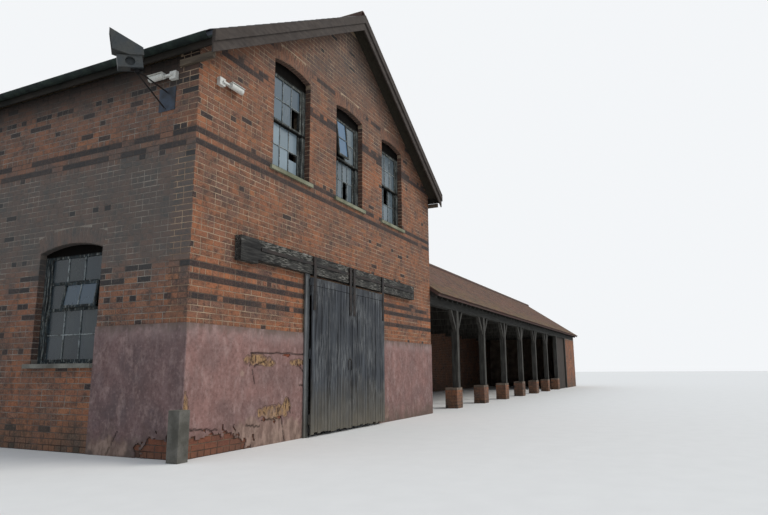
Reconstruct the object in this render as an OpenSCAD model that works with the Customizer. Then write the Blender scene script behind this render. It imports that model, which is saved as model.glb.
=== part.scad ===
// Two-storey brick farm building with a gabled front and a long open-fronted range beside it.
// The near front corner stands at x = 0, y = 0 before everything is moved to the centre of the plan.

/* [Main block] */
// Width of the gabled front
body_w = 8280; // [7600:10:9600]
// Length of the block behind the gabled front
body_l = 12000; // [9000:10:16000]
// Thickness of the brick walls
wall_t = 340; // [225:5:450]
// Height of the first floor boards
floor_z = 2980; // [2960:10:3300]
// Depth of the floor joists
joist_h = 225; // [175:5:275]
// Thickness of the floor joists
joist_t = 75; // [50:5:100]
// Widest spacing of the floor joists
joist_gap = 700; // [400:50:900]

/* [Main roof] */
// Pitch of the main roof in degrees
roof_pitch = 31.5; // [26:0.5:42]
// Underside of the roof covering at the outer wall face
eaves_z = 5400; // [5320:10:5700]
// Thickness of the tiles and battens together
cover_t = 60; // [40:5:90]
// Overhang of the covering past the side walls
eaves_over = 120; // [80:5:300]
// Overhang of the covering past the gables
verge_over = 300; // [120:10:450]
// Depth of the rafters
rafter_d = 100; // [75:5:150]
// Thickness of the rafters
rafter_t = 50; // [38:1:75]
// Height of the ridge board
ridge_board_h = 200; // [160:5:250]
// Spacing of the rafters
rafter_gap = 600; // [400:50:900]
// Width of a wall plate
plate_w = 110; // [75:5:150]
// Height of a wall plate
plate_h = 100; // [75:5:125]
// Distance of a wall plate from the outer wall face
plate_in = 60; // [50:5:100]
// Depth of the notch that seats a rafter on its plate
notch = 25; // [10:1:35]
// Radius of the ridge tiles
ridge_r = 100; // [90:5:160]
// Thickness of a ridge tile
ridge_t = 16; // [12:1:25]

/* [Verges and gutters] */
// Depth of the lower bargeboard, measured upright
barge_low_h = 315; // [240:5:380]
// Depth of the upper bargeboard, measured upright
barge_top_h = 165; // [90:5:200]
// Thickness of each bargeboard
barge_t = 28; // [20:1:40]
// Thickness of the soffit boards
soffit_t = 20; // [15:1:30]
// Radius of the gutters
gutter_r = 65; // [50:1:80]
// Wall of the gutters
gutter_t = 5; // [3:0.5:8]
// Height of the boards that box in the eaves
eaves_board_h = 130; // [100:5:200]
// Height of the short boards under the eaves at the corners
return_h = 90; // [60:5:120]
// Thickness of the short boards under the eaves at the corners
return_t = 45; // [30:5:60]
// Length of those boards on the side wall
return_in = 310; // [200:10:450]
// Reach of those boards past the gable
return_out = 260; // [100:10:280]
// Gap between those boards and the foot of the eaves board
return_drop = 40; // [20:5:80]

/* [Doorway] */
// Left side of the doorway
door_x = 2710; // [2500:10:2900]
// Width of the doorway
door_w = 2620; // [2300:10:2800]
// Height of the doorway
door_h = 2460; // [2300:10:2500]
// Height of the underside of the beam that carries the doors
beam_z = 2590; // [2560:10:2700]
// Depth of the beam that carries the doors
beam_h = 300; // [280:5:340]
// Thickness of the beam that carries the doors
beam_t = 110; // [100:5:130]
// Length of the beam left of the doorway
beam_left = 1470; // [1450:10:1600]
// Length of the beam right of the doorway
beam_right = 1670; // [1450:10:1700]
// Width of the timber block at the beam's left end
block_w = 390; // [300:10:500]
// Height of the timber block at the beam's left end
block_h = 350; // [300:10:420]
// Width of the board that covers the left side of the doorway
jamb_w = 120; // [80:5:140]
// Thickness of the board that covers the left side of the doorway
jamb_t = 25; // [15:1:30]

/* [Door leaves] */
// Overlap of a closed leaf over the side of the doorway
leaf_lap = 45; // [30:5:60]
// Gap between the two closed leaves
leaf_gap = 12; // [10:1:30]
// Gap under the leaves
leaf_floor_gap = 30; // [20:5:60]
// Height of the leaves' planks above the ground
leaf_top = 2400; // [2200:10:2420]
// Height of the head rail above the planks
head_rail_h = 130; // [80:5:140]
// Thickness of the planks
plank_t = 25; // [18:1:32]
// Thickness of the rails behind the planks
ledge_t = 42; // [30:1:50]
// Width of the rails behind the planks
ledge_h = 160; // [100:5:220]
// Clearance between the leaves and the board beside them
leaf_clear = 15; // [12:1:25]

/* [Door track] */
// Height of the rail
rail_h = 50; // [40:5:60]
// Thickness of the rail
rail_t = 10; // [8:1:12]
// Gap between the rail and the beam
rail_gap = 6; // [6:1:12]
// Height of the rail's top above the underside of the beam
rail_up = 190; // [150:5:200]
// Distance of the rail's ends from the beam's ends
rail_end = 60; // [40:5:100]
// Number of packings behind the rail
packings = 6; // [4:1:10]
// Radius of the wheels
wheel_r = 50; // [40:1:60]
// Thickness of the wheels
wheel_t = 16; // [12:1:16]
// Width of the straps
strap_w = 80; // [50:5:100]
// Thickness of the straps
strap_t = 8; // [6:1:12]
// Distance of a strap's middle from the leaf's edge
strap_in = 65; // [60:5:150]
// Length of a strap below the top of the planks
strap_down = 400; // [200:10:600]

/* [Plinth render] */
// Thickness of the cement render at the foot of the walls
render_t = 25; // [15:1:35]
// Height of the cement render
render_h = 1630; // [1200:10:2000]

/* [Gable windows] */
// Width of a first floor window
win_w = 1050; // [800:10:1200]
// Height of the brick sill line of the first floor windows
win_sill = 4150; // [4000:10:4300]
// Height from the sill to the springing of the arch
win_h = 1800; // [1500:10:1900]
// Rise of the arch over the window
win_rise = 70; // [50:5:160]
// Distance between the windows' centre lines
win_gap = 1955; // [1700:5:2200]
// Angle at which the small light of the middle window stands open
light_tilt = 6; // [3:1:30]

/* [Window joinery] */
// Depth of the reveal in front of the frames
reveal = 100; // [60:5:120]
// Depth of the window frames
frame_d = 110; // [100:5:130]
// Width of a frame at its two sides
frame_w = 100; // [60:5:120]
// Height of a gable window's frame below the sashes
frame_foot = 70; // [50:5:100]
// Height of a gable window's frame between the sashes and the springing of the arch
frame_head = 150; // [60:5:180]
// Distance of the sashes behind the face of the frame
sash_in = 14; // [5:1:20]
// Thickness of the sashes
sash_t = 38; // [30:1:40]
// Width of the gable sashes' stiles and rails
sash_s = 50; // [40:1:60]
// Width of the bars that divide a sash into lights
bar_w = 40; // [25:1:50]
// Thickness of an opening light
vent_t = 30; // [25:1:38]
// Width of an opening light's stiles and rails
vent_s = 35; // [25:1:45]
// Lap of an opening light over its hole
vent_lap = 12; // [8:1:18]
// Thickness of the glass
glass_t = 6; // [4:1:8]
// Height of a sill slab
sill_h = 60; // [40:5:90]
// Projection of a sill slab
sill_out = 45; // [20:5:80]
// Length of a sill slab past each side of its window
sill_end = 70; // [40:5:120]

/* [Side windows] */
// Distance from the front corner to the first side window's centre line
side_y = 2205; // [1800:5:2600]
// Distance between the side windows' centre lines
side_gap = 3800; // [3200:10:4200]
// Number of windows in each side wall
side_count = 3; // [2:1:3]
// Width of a side window
side_w = 1280; // [900:10:1350]
// Height of the brick sill line of the side windows
side_sill = 1150; // [900:10:1300]
// Height from the sill to the springing of the arch
side_h = 1570; // [1300:10:1700]
// Rise of the arch over the window
side_rise = 100; // [60:5:150]
// Height of a side window's frame below its sash
side_foot = 25; // [15:5:80]
// Height of a side window's frame between its sash and the springing of the arch
side_head = 45; // [30:5:80]
// Width of a side sash's stiles and rails
side_s = 35; // [30:1:60]
// Angle at which the small lights of the side windows stand open
side_tilt = 8; // [3:1:20]

/* [Range] */
// Width of the first open bay beside the main block
first_bay = 2110; // [1900:10:2600]
// Width of the other open bays
bay = 2580; // [2200:10:2800]
// Number of posts
post_count = 8; // [3:1:8]
// Width of the closed bay at the far end
end_bay = 3100; // [2600:10:3400]
// Depth of the range from front to back
range_d = 5200; // [4800:10:6000]
// Thickness of the range's brick walls
range_wall_t = 225; // [215:5:340]
// Height of the underside of the long front plate
plate_z = 2620; // [2400:10:2750]
// Depth of the long front plate
range_plate_h = 230; // [180:5:280]
// Thickness of the long front plate
range_plate_w = 180; // [150:5:220]
// Width of the posts
post_w = 170; // [140:5:200]
// Height of the brick bases under the posts
base_h = 540; // [400:10:800]
// Width of the brick bases under the posts
base_w = 460; // [350:5:560]
// Depth of the brick bases from front to back
base_d = 330; // [225:5:460]
// Distance of the end boarding behind the posts' front face
board_in = 70; // [40:5:120]
// Reach of a brace along the plate
brace_reach = 420; // [300:10:600]
// Drop of a brace down the post
brace_drop = 580; // [500:10:900]
// Width of a brace
brace_w = 95; // [70:5:120]
// Distance of the braces behind the posts' front face
brace_in = 20; // [10:5:60]
// Pitch of the range's roof in degrees
range_pitch = 34; // [28:0.5:42]
// Overhang of the range's covering at the front and the back
range_over = 230; // [150:5:350]
// Overhang of the range's covering past its end wall
range_end_over = 60; // [20:5:150]
// Width of the purlins
purlin_w = 130; // [90:5:180]
// Depth of the trusses' rafters
principal_d = 160; // [120:5:200]
// Thickness of a truss
truss_t = 110; // [90:5:150]
// Depth of a tie beam
tie_h = 220; // [160:5:260]

/* [Floodlight] */
// Distance of the floodlight's middle from the front corner
lamp_y = 535; // [450:5:900]
// Width of the floodlight's wall plate
lamp_plate_w = 290; // [200:10:350]
// Height of the floodlight's wall plate
lamp_plate_h = 330; // [250:10:400]
// Thickness of the floodlight's wall plate
lamp_plate_t = 12; // [8:1:16]
// Height of the wall plate's middle
lamp_plate_z = 4650; // [4400:10:4800]
// Radius of the two rods
rod_r = 10; // [8:1:12]
// Radius of the round boss that the rods meet in
lug_r = 32; // [31:1:45]
// Depth of that boss under the lamp's foot plate
lug_h = 36; // [30:1:50]
// Distance of the boss from the wall
lamp_in = 535; // [450:5:700]
// Height of the boss's middle
lamp_low = 4810; // [4700:5:4900]
// Angle by which the lamp is swung towards the back
lamp_turn = 39; // [0:1:60]
// Angle at which the lamp is tilted down
lamp_tilt = 10; // [0:1:30]
// Length of the gear box under the lamp
gear_l = 300; // [240:10:400]
// Height of the gear box
gear_h = 160; // [130:10:220]
// Width of the gear box
gear_w = 140; // [130:10:240]
// Length of the lamp's hood
horn_l = 370; // [340:5:480]
// Length of the hood past the gear box's wall end
horn_lap = 25; // [0:5:60]
// Height of the hood at its open end
horn_h = 350; // [250:5:420]
// Height of the hood's lower lip above the gear box
horn_lip_h = 70; // [0:5:100]
// Height of the hood at its closed end
horn_back_h = 100; // [60:5:150]
// Width of the hood
horn_w = 180; // [150:10:300]
// Thickness of the hood's sheet
horn_t = 4; // [3:0.5:6]
// Radius of the round recess in the gear box
gear_hole_r = 60; // [40:5:64]
// Depth of that recess
gear_hole_d = 50; // [20:5:70]

/* [Cameras] */
// Height of the cameras' middle
camera_z = 4960; // [4800:10:5050]
// Distance of the front camera's box from the corner
camera_x = 340; // [200:10:400]
// Distance of the side camera's box from the corner
camera_y = 360; // [200:10:400]
// Side of a camera's square wall box
camera_box = 110; // [80:5:130]
// Depth of a camera's wall box
camera_box_d = 60; // [40:5:80]
// Length of the neck between the box and the camera
camera_neck = 80; // [60:5:120]
// Length of a camera's body
camera_l = 250; // [160:5:280]
// Radius of a camera's body
camera_r = 42; // [35:1:50]

/* [Guard post] */
// Height of the guard post at the corner
guard_h = 590; // [400:10:800]
// Thickness of the guard post at the corner
guard_t = 170; // [140:5:240]
// Length of the guard post's face that stands against the side wall
guard_lap = 40; // [20:5:100]

/* [Hidden] */

// Gap left where a sloped or curved face rests on another piece
seat = 0.3;
roof_rise = tan(roof_pitch);
cover_v = cover_t / cos(roof_pitch);
rafter_v = rafter_d / cos(roof_pitch);
mid_x = body_w / 2;
ridge_z = eaves_z + roof_rise * mid_x;
plate_top = eaves_z + roof_rise * plate_in - rafter_v + notch;
wall_top = plate_top - plate_h;
door_mid = door_x + door_w / 2;
range_l = first_bay + (post_count - 1) * bay + end_bay;
total_w = body_w + range_l;
range_rise = tan(range_pitch);
range_cover_v = cover_t / cos(range_pitch);
range_rafter_v = rafter_d / cos(range_pitch);
range_plate_top = plate_z + range_plate_h;
range_eaves_z = range_plate_top + range_rafter_v;
range_mid = range_d / 2;
range_ridge_z = range_eaves_z + range_rise * range_mid;
truss_toe = principal_d / sin(range_pitch);
smooth = 64;

// Height of the underside of the main covering at x
function roof_under(x) = eaves_z + roof_rise * min(x, body_w - x);
// Height of the underside of the range's covering at y
function range_under(y) = range_eaves_z + range_rise * min(y, range_d - y);
// Place of post number i along the front
function post_x(i) = body_w + first_bay + i * bay;
// Radius of a segmental arch of width w and rise r
function arch_radius(w, r) = (w * w / 4 + r * r) / (2 * r);

// Thickness and length of the plate under the lamp, and its height above the boss's middle
foot_t = 10;
foot_l = gear_l / 2;
foot_up = lug_h / 2 + foot_t;

// Reach of the hood's outer top edge past the boss, before and after the lamp is swung round
horn_reach = (horn_l - horn_lap - foot_l / 2) * cos(lamp_tilt)
  + (foot_up + gear_h + horn_h) * sin(lamp_tilt);
left_reach = lamp_in + horn_reach * cos(lamp_turn) + horn_w / 2 * sin(lamp_turn);

// Moves the model so that its origin lies under the middle of its plan
module placed() {
  translate([-(total_w + range_end_over - left_reach) / 2, -body_l / 2, 0]) children();
}

// Extrudes a drawing of x and z from y0 to y1
module along_y(y0, y1) {
  translate([0, y1, 0]) rotate([90, 0, 0]) linear_extrude(y1 - y0) children();
}

// Extrudes a drawing of y and z from x0 to x1
module along_x(x0, x1) {
  translate([x0, 0, 0]) rotate([90, 0, 90]) linear_extrude(x1 - x0) children();
}

// Upright window shape with a segmental head, centred on cx and standing on sill
module arched(cx, sill, w, h, rise) {
  r = arch_radius(w, rise);
  translate([cx, sill]) {
    translate([-w / 2, 0]) square([w, h]);
    intersection() {
      translate([-w / 2, h - 1]) square([w, rise + 2]);
      translate([0, h + rise - r]) circle(r, $fn = smooth);
    }
  }
}

// Outline of a gable wall between two heights
module gable_outline(z0) {
  polygon([[0, z0], [body_w, z0], [body_w, roof_under(body_w) - seat],
    [mid_x, roof_under(mid_x) - seat], [0, roof_under(0) - seat]]);
}

// Centre line of gable window number i
function gable_x(i) = mid_x + (i - 1) * win_gap;
// Centre line of side window number i
function side_window_y(i) = side_y + i * side_gap;

module gable_windows_cut() {
  for (i = [0:2]) arched(gable_x(i), win_sill, win_w, win_h, win_rise);
}

module front_wall_left() {
  color("sienna") placed() cube([door_x, wall_t, door_h]);
}

module front_wall_right() {
  color("sienna") placed() translate([door_x + door_w, 0, 0])
    cube([body_w - door_x - door_w, wall_t, door_h]);
}

module front_wall_gable() {
  color("sienna") placed() along_y(0, wall_t) difference() {
    gable_outline(door_h);
    gable_windows_cut();
  }
}

module back_wall() {
  color("sienna") placed() along_y(body_l - wall_t, body_l) difference() {
    gable_outline(0);
    gable_windows_cut();
  }
}

module side_wall_outline() {
  translate([wall_t, 0]) square([body_l - 2 * wall_t, wall_top]);
}

module side_windows_cut() {
  for (i = [0:side_count - 1]) arched(side_window_y(i), side_sill, side_w, side_h, side_rise);
}

module side_wall_left() {
  color("sienna") placed() along_x(0, wall_t) difference() {
    side_wall_outline();
    side_windows_cut();
  }
}

module side_wall_right() {
  color("sienna") placed() along_x(body_w - wall_t, body_w) side_wall_outline();
}

module render_front_left() {
  color("rosybrown") placed() translate([0, -render_t, 0]) cube([door_x, render_t, render_h]);
}

module render_front_right() {
  color("rosybrown") placed() translate([door_x + door_w, -render_t, 0])
    cube([body_w - door_x - door_w, render_t, render_h]);
}

module render_side() {
  color("rosybrown") placed() translate([-render_t, -render_t, 0])
    cube([render_t, side_y - side_w / 2 + render_t, render_h]);
}

module first_floor_boards() {
  color("saddlebrown") placed() translate([wall_t, wall_t, floor_z])
    cube([body_w - 2 * wall_t, body_l - 2 * wall_t, plank_t]);
}

module first_floor_joists() {
  count = ceil((body_l - 2 * wall_t) / joist_gap);
  step = (body_l - 2 * wall_t) / count;
  color("saddlebrown") placed() for (i = [0:count - 1])
    translate([wall_t, wall_t + (i + 0.5) * step - joist_t / 2, floor_z - joist_h])
      cube([body_w - 2 * wall_t, joist_t, joist_h]);
}

module wall_plates() {
  color("saddlebrown") placed() for (x = [plate_in, body_w - plate_in - plate_w])
    translate([x, wall_t, wall_top]) cube([plate_w, body_l - 2 * wall_t, plate_h]);
}

// One left rafter drawn in x and z, notched over its plate, from the eaves to the ridge board
module rafter_outline() {
  x0 = -eaves_over + plank_t + seat;
  x1 = mid_x - rafter_t / 2;
  heel = plate_in - seat;
  toe = plate_in + (notch + seat) / roof_rise;
  polygon([[x0, roof_under(x0) - rafter_v], [heel, roof_under(heel) - rafter_v],
    [heel, plate_top + seat], [toe, plate_top + seat], [x1, roof_under(x1) - rafter_v],
    [x1, roof_under(x1) - seat], [x0, roof_under(x0) - seat]]);
}

rafter_count = floor((body_l - 2 * wall_t - rafter_gap) / rafter_gap) + 1;
rafter_y0 = (body_l - (rafter_count - 1) * rafter_gap) / 2;

module rafters() {
  color("peru") placed() for (i = [0:rafter_count - 1], side = [0, 1])
    along_y(rafter_y0 + i * rafter_gap - rafter_t / 2, rafter_y0 + i * rafter_gap + rafter_t / 2)
      translate([side * body_w, 0]) mirror([side, 0]) rafter_outline();
}

module ridge_board() {
  top = roof_under(mid_x - rafter_t / 2) - seat;
  color("peru") placed() translate([mid_x - rafter_t / 2, wall_t, top - ridge_board_h])
    cube([rafter_t, body_l - 2 * wall_t, ridge_board_h]);
}

// Left slope of the covering drawn in x and z
module roof_outline() {
  x0 = -eaves_over;
  polygon([[x0, roof_under(x0)], [mid_x, ridge_z], [mid_x, ridge_z + cover_v],
    [x0, roof_under(x0) + cover_v]]);
}

module roof_left() {
  color("dimgray") placed() along_y(-verge_over, body_l + verge_over) roof_outline();
}

module roof_right() {
  color("dimgray") placed() along_y(-verge_over, body_l + verge_over)
    translate([body_w, 0]) mirror([1, 0]) roof_outline();
}

// Half round ridge tile line, open below, with feet that follow the two slopes
module ridge_outline(rise, cover_top) {
  drop = ridge_r * rise;
  difference() {
    union() {
      circle(ridge_r, $fn = smooth);
      translate([-ridge_r, -drop]) square([2 * ridge_r, drop]);
    }
    circle(ridge_r - ridge_t, $fn = smooth);
    translate([-ridge_r + ridge_t, -2 * drop]) square([2 * (ridge_r - ridge_t), 2 * drop]);
    polygon([[0, seat], [-2 * ridge_r, seat - 2 * ridge_r * rise], [-2 * ridge_r, -4 * ridge_r],
      [2 * ridge_r, -4 * ridge_r], [2 * ridge_r, seat - 2 * ridge_r * rise]]);
  }
}

module ridge_tiles() {
  color("dimgray") placed() along_y(-verge_over, body_l + verge_over)
    translate([mid_x, ridge_z + cover_v]) ridge_outline(roof_rise);
}

// Strip under the top of the covering on the left slope, from x0 to the ridge
module verge_strip(x0, top_drop, depth) {
  x1 = mid_x - seat;
  top0 = roof_under(x0) + cover_v - top_drop;
  top1 = roof_under(x1) + cover_v - top_drop;
  polygon([[x0, top0], [x1, top1], [x1, top1 - depth], [x0, top0 - depth]]);
}

// Copies a drawing of x and z of the left slope to the right one
module both_slopes() {
  children();
  translate([body_w, 0]) mirror([1, 0]) children();
}

// Copies what stands at the front gable to the back one
module both_gables() {
  children();
  translate([0, body_l, 0]) mirror([0, 1, 0]) children();
}

// Lower and upper boards of one verge, against the end of the covering at y_roof
module bargeboard_pair(y_roof, out) {
  y1 = y_roof + out * barge_t;
  y2 = y1 + out * barge_t;
  along_y(min(y_roof, y1), max(y_roof, y1)) both_slopes() verge_strip(-eaves_over, 0, barge_low_h);
  along_y(min(y1, y2), max(y1, y2)) both_slopes() verge_strip(-eaves_over, 0, barge_top_h);
}

module bargeboards() {
  color("saddlebrown") placed() {
    bargeboard_pair(-verge_over, -1);
    bargeboard_pair(body_l + verge_over, 1);
  }
}

module verge_soffits() {
  color("saddlebrown") placed() for (y = [-verge_over, body_l])
    along_y(y + (y < 0 ? 0 : seat), y + verge_over - (y < 0 ? seat : 0))
      both_slopes() verge_strip(-eaves_over + plank_t + seat, cover_v + seat, soffit_t);
}

// Short board under the eaves at the corner, from the side wall out under the verge
module eaves_return() {
  top = roof_under(-eaves_over) - seat - eaves_board_h - return_drop;
  translate([-return_t, -return_out, top - return_h]) cube([return_t, return_out + return_in, return_h]);
}

module eaves_boards() {
  color("saddlebrown") placed() for (side = [0, 1])
    translate([side * body_w, 0, 0]) mirror([side, 0, 0]) {
      translate([-eaves_over, -verge_over, roof_under(-eaves_over) - seat - eaves_board_h])
        cube([plank_t, body_l + 2 * verge_over, eaves_board_h]);
      both_gables() eaves_return();
    }
}

// Half round gutter drawn in x and z with its centre at the origin
module gutter_outline() {
  difference() {
    circle(gutter_r, $fn = smooth);
    circle(gutter_r - gutter_t, $fn = smooth);
    translate([-gutter_r, 0]) square([2 * gutter_r, gutter_r]);
  }
}

module gutters() {
  color("darkolivegreen") placed() for (side = [0, 1])
    translate([side * body_w, 0, 0]) mirror([side, 0, 0]) along_y(-verge_over, body_l + verge_over)
      translate([-eaves_over - gutter_r - seat, roof_under(-eaves_over)]) gutter_outline();
}

// Width of the hole in the frame of a window of width w
function hole_w(w) = w - 2 * frame_w;

// Window frame with a flat-headed hole, solid up to the arch
module frame_outline(cx, sill, w, h, rise, foot, head) {
  difference() {
    arched(cx, sill + seat, w - 2 * seat, h - seat, rise - seat);
    translate([cx - hole_w(w) / 2, sill + foot]) square([hole_w(w), h - foot - head]);
  }
}

// Ring of stiles and rails of width s round an opening
module ring(w, h, s) {
  difference() {
    square([w, h]);
    translate([s, s]) square([w - 2 * s, h - 2 * s]);
  }
}

// Rectangle inside a ring, with the gap g all round
module pane(w, h, s, g) {
  translate([s + g, s + g]) square([w - 2 * s - 2 * g, h - 2 * s - 2 * g]);
}

sash_w = hole_w(win_w) - 2 * seat;
sash_h = (win_h - frame_foot - frame_head - 2 * seat + sash_s) / 2;
sash_low = win_sill + frame_foot + seat;
sash_up = sash_low + sash_h - sash_s;
sash_y = reveal + sash_in;
half_light_w = (sash_w - bar_w) / 2 - sash_s;

// Puts a sash drawing in gable window i at height z, at depth d behind the sashes' face
module at_sash(i, z, d, t) {
  along_y(sash_y + d, sash_y + d + t) translate([gable_x(i) - sash_w / 2, z]) children();
}

// Frames and sliding sashes of the three gable windows, the middle one with a light left out
module gable_sashes(open_middle) {
  for (i = [0:2]) {
    along_y(reveal, reveal + frame_d)
      frame_outline(gable_x(i), win_sill, win_w, win_h, win_rise, frame_foot, frame_head);
    at_sash(i, sash_up, 0, sash_t) {
      ring(sash_w, sash_h, sash_s);
      if (open_middle && i == 1) translate([sash_s + half_light_w, sash_s])
        square([bar_w, sash_h - 2 * sash_s]);
    }
    at_sash(i, sash_low, sash_t + seat, sash_t) ring(sash_w, sash_h, sash_s);
  }
}

module gable_panes(open_middle) {
  depth = (sash_t - glass_t) / 2;
  for (i = [0:2]) {
    at_sash(i, sash_up, depth, glass_t) intersection() {
      pane(sash_w, sash_h, sash_s, seat);
      if (open_middle && i == 1) translate([sash_s + half_light_w + bar_w + seat, 0])
        square([half_light_w, sash_h]);
      else square([sash_w, sash_h]);
    }
    at_sash(i, sash_low, sash_t + seat + depth, glass_t) pane(sash_w, sash_h, sash_s, seat);
  }
}

light_w = half_light_w + 2 * vent_lap;
light_h = sash_h - 2 * sash_s + 2 * vent_lap;

// Hangs what is drawn in x and z below the top edge of the middle window's open light
module on_open_light() {
  top = sash_up + sash_h - sash_s + vent_lap;
  translate([gable_x(1) - sash_w / 2 + sash_s - vent_lap, sash_y - seat, top])
    rotate([-light_tilt, 0, 0]) translate([0, 0, -light_h]) children();
}

module gable_window_frames() {
  color("gray") placed() {
    gable_sashes(true);
    on_open_light() along_y(-vent_t, 0) ring(light_w, light_h, vent_s);
    translate([0, body_l, 0]) mirror([0, 1, 0]) gable_sashes(false);
  }
}

module gable_window_glass() {
  color("lightsteelblue") placed() {
    gable_panes(true);
    on_open_light() along_y(-(vent_t + glass_t) / 2, -(vent_t - glass_t) / 2)
      pane(light_w, light_h, vent_s, seat);
    translate([0, body_l, 0]) mirror([0, 1, 0]) gable_panes(false);
  }
}

module gable_window_sills() {
  color("darkkhaki") placed() both_gables() for (i = [0:2])
    translate([gable_x(i) - win_w / 2 - sill_end, -sill_out, win_sill - sill_h])
      cube([win_w + 2 * sill_end, sill_out, sill_h]);
}

side_sash_w = hole_w(side_w) - 2 * seat;
side_sash_h = side_h - side_foot - side_head - 2 * seat;
side_sash_z = side_sill + side_foot + seat;
pane_row = (side_sash_h - 2 * side_s - 2 * bar_w) / 4;
vent_w = (side_sash_w - 2 * side_s) * 2 / 3 - bar_w / 2;
vent_z = side_s + 2 * pane_row + bar_w;

// Fixed lights of a side window's sash, each smaller by the gap g all round
module side_lights(g) {
  full = side_sash_w - 2 * side_s - 2 * g;
  rest = side_sash_w - 2 * side_s - vent_w - bar_w - 2 * g;
  translate([side_s + g, side_s + g]) square([full, 2 * pane_row - 2 * g]);
  translate([side_s + vent_w + bar_w + g, vent_z + g]) square([rest, pane_row - 2 * g]);
  translate([side_s + g, vent_z + pane_row + bar_w + g]) square([full, pane_row - 2 * g]);
}

// Puts a drawing of y and z in side window i, from depth d to depth d + t behind the sashes' face
module at_side_sash(i, d, t) {
  along_x(sash_y + d, sash_y + d + t)
    translate([side_window_y(i) - side_sash_w / 2, side_sash_z]) children();
}

// Hangs what is drawn in y and z below the top edge of the small open light of side window i
module on_side_vent(i) {
  translate([sash_y - seat, side_window_y(i) - side_sash_w / 2 + side_s - vent_lap,
    side_sash_z + vent_z + pane_row + vent_lap])
    rotate([0, side_tilt, 0]) translate([0, 0, -pane_row - 2 * vent_lap]) children();
}

module side_window_frames() {
  color("gray") placed() for (i = [0:side_count - 1]) {
    along_x(reveal, reveal + frame_d)
      frame_outline(side_window_y(i), side_sill, side_w, side_h, side_rise, side_foot, side_head);
    at_side_sash(i, 0, sash_t) difference() {
      square([side_sash_w, side_sash_h]);
      side_lights(0);
      translate([side_s, vent_z]) square([vent_w, pane_row]);
    }
    on_side_vent(i) along_x(-vent_t, 0) ring(vent_w + 2 * vent_lap, pane_row + 2 * vent_lap, vent_s);
  }
}

module side_window_glass() {
  depth = (sash_t - glass_t) / 2;
  color("lightsteelblue") placed() for (i = [0:side_count - 1]) {
    at_side_sash(i, depth, glass_t) side_lights(seat);
    on_side_vent(i) along_x(-(vent_t + glass_t) / 2, -(vent_t - glass_t) / 2)
      pane(vent_w + 2 * vent_lap, pane_row + 2 * vent_lap, vent_s, seat);
  }
}

// Sills of the side windows, the first one cut short by the render beside it
module side_window_sills() {
  color("darkkhaki") placed() for (i = [0:side_count - 1]) {
    y0 = side_window_y(i) - side_w / 2 + (i == 0 ? seat : -sill_end);
    y1 = side_window_y(i) + side_w / 2 + sill_end;
    translate([-render_t - sill_out, y0, side_sill - sill_h])
      cube([render_t + sill_out, y1 - y0, sill_h]);
  }
}

beam_x = door_x - beam_left;
beam_l = beam_left + door_w + beam_right;

// Beam over the doorway, with the block that closes its left end
module door_beam() {
  color("black") placed() {
    translate([beam_x, -beam_t, beam_z]) cube([beam_l, beam_t, beam_h]);
    translate([beam_x - block_w, -beam_t, beam_z + beam_h - block_h]) cube([block_w, beam_t, block_h]);
  }
}

rail_top = beam_z + rail_up;
rail_x = beam_x + rail_end;
rail_l = beam_l - 2 * rail_end;
rail_front = -beam_t - rail_gap - rail_t;

// Flat rail on edge, packed off the beam
module door_rail() {
  color("dimgray") placed() {
    translate([rail_x, rail_front, rail_top - rail_h]) cube([rail_l, rail_t, rail_h]);
    for (i = [0:packings - 1])
      translate([rail_x + i * (rail_l - rail_h) / (packings - 1), -beam_t - rail_gap, rail_top - rail_h])
        cube([rail_h, rail_gap, rail_h]);
  }
}

// Upright board over the left side of the doorway, from the ground to the beam
module door_jamb_board() {
  color("darkgray") placed() translate([door_x - jamb_w, -render_t - jamb_t, 0])
    cube([jamb_w, jamb_t, beam_z]);
}

leaf_back = -render_t - jamb_t - leaf_clear;
leaf_front = leaf_back - ledge_t - plank_t;
leaf_w = door_w / 2 + leaf_lap - leaf_gap / 2;
leaf_left_x = door_x - leaf_lap;
leaf_right_x = leaf_left_x + leaf_w + leaf_gap;

// One door leaf with its left edge at x = 0: planks, three rails behind them and a head rail on top
module leaf() {
  low = leaf_floor_gap + ledge_h;
  high = leaf_top - ledge_h;
  translate([0, leaf_front, leaf_floor_gap]) cube([leaf_w, plank_t, leaf_top - leaf_floor_gap]);
  for (z = [low, (low + high) / 2, high])
    translate([0, leaf_front + plank_t, z]) cube([leaf_w, ledge_t, ledge_h]);
  translate([0, leaf_front, leaf_top]) cube([leaf_w, plank_t + ledge_t, head_rail_h]);
}

// Strap and wheel of a hanger, centred on x = 0, the strap flat on the leaf's face
module hanger() {
  wheel_z = rail_top + wheel_r + seat;
  translate([-strap_w / 2, leaf_front - strap_t, leaf_top - strap_down])
    cube([strap_w, strap_t, wheel_z + wheel_r - leaf_top + strap_down]);
  along_y(leaf_front, leaf_front + wheel_t) translate([0, wheel_z]) circle(wheel_r, $fn = smooth);
}

module hangers() {
  for (x = [strap_in, leaf_w - strap_in]) translate([x, 0, 0]) hanger();
}

module door_leaf_left() {
  color("dimgray") placed() translate([leaf_left_x, 0, 0]) leaf();
}

module door_leaf_right() {
  color("dimgray") placed() translate([leaf_right_x, 0, 0]) leaf();
}

module door_hangers_left() {
  color("black") placed() translate([leaf_left_x, 0, 0]) hangers();
}

module door_hangers_right() {
  color("black") placed() translate([leaf_right_x, 0, 0]) hangers();
}

// Round rod between two points of x and z, at the distance y from the front corner
module rod(p, q, y) {
  d = q - p;
  translate([p[0], y, p[1]]) rotate([0, 90 - atan2(d[1], d[0]), 0])
    cylinder(h = norm(d), r = rod_r, $fn = smooth);
}

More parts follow.
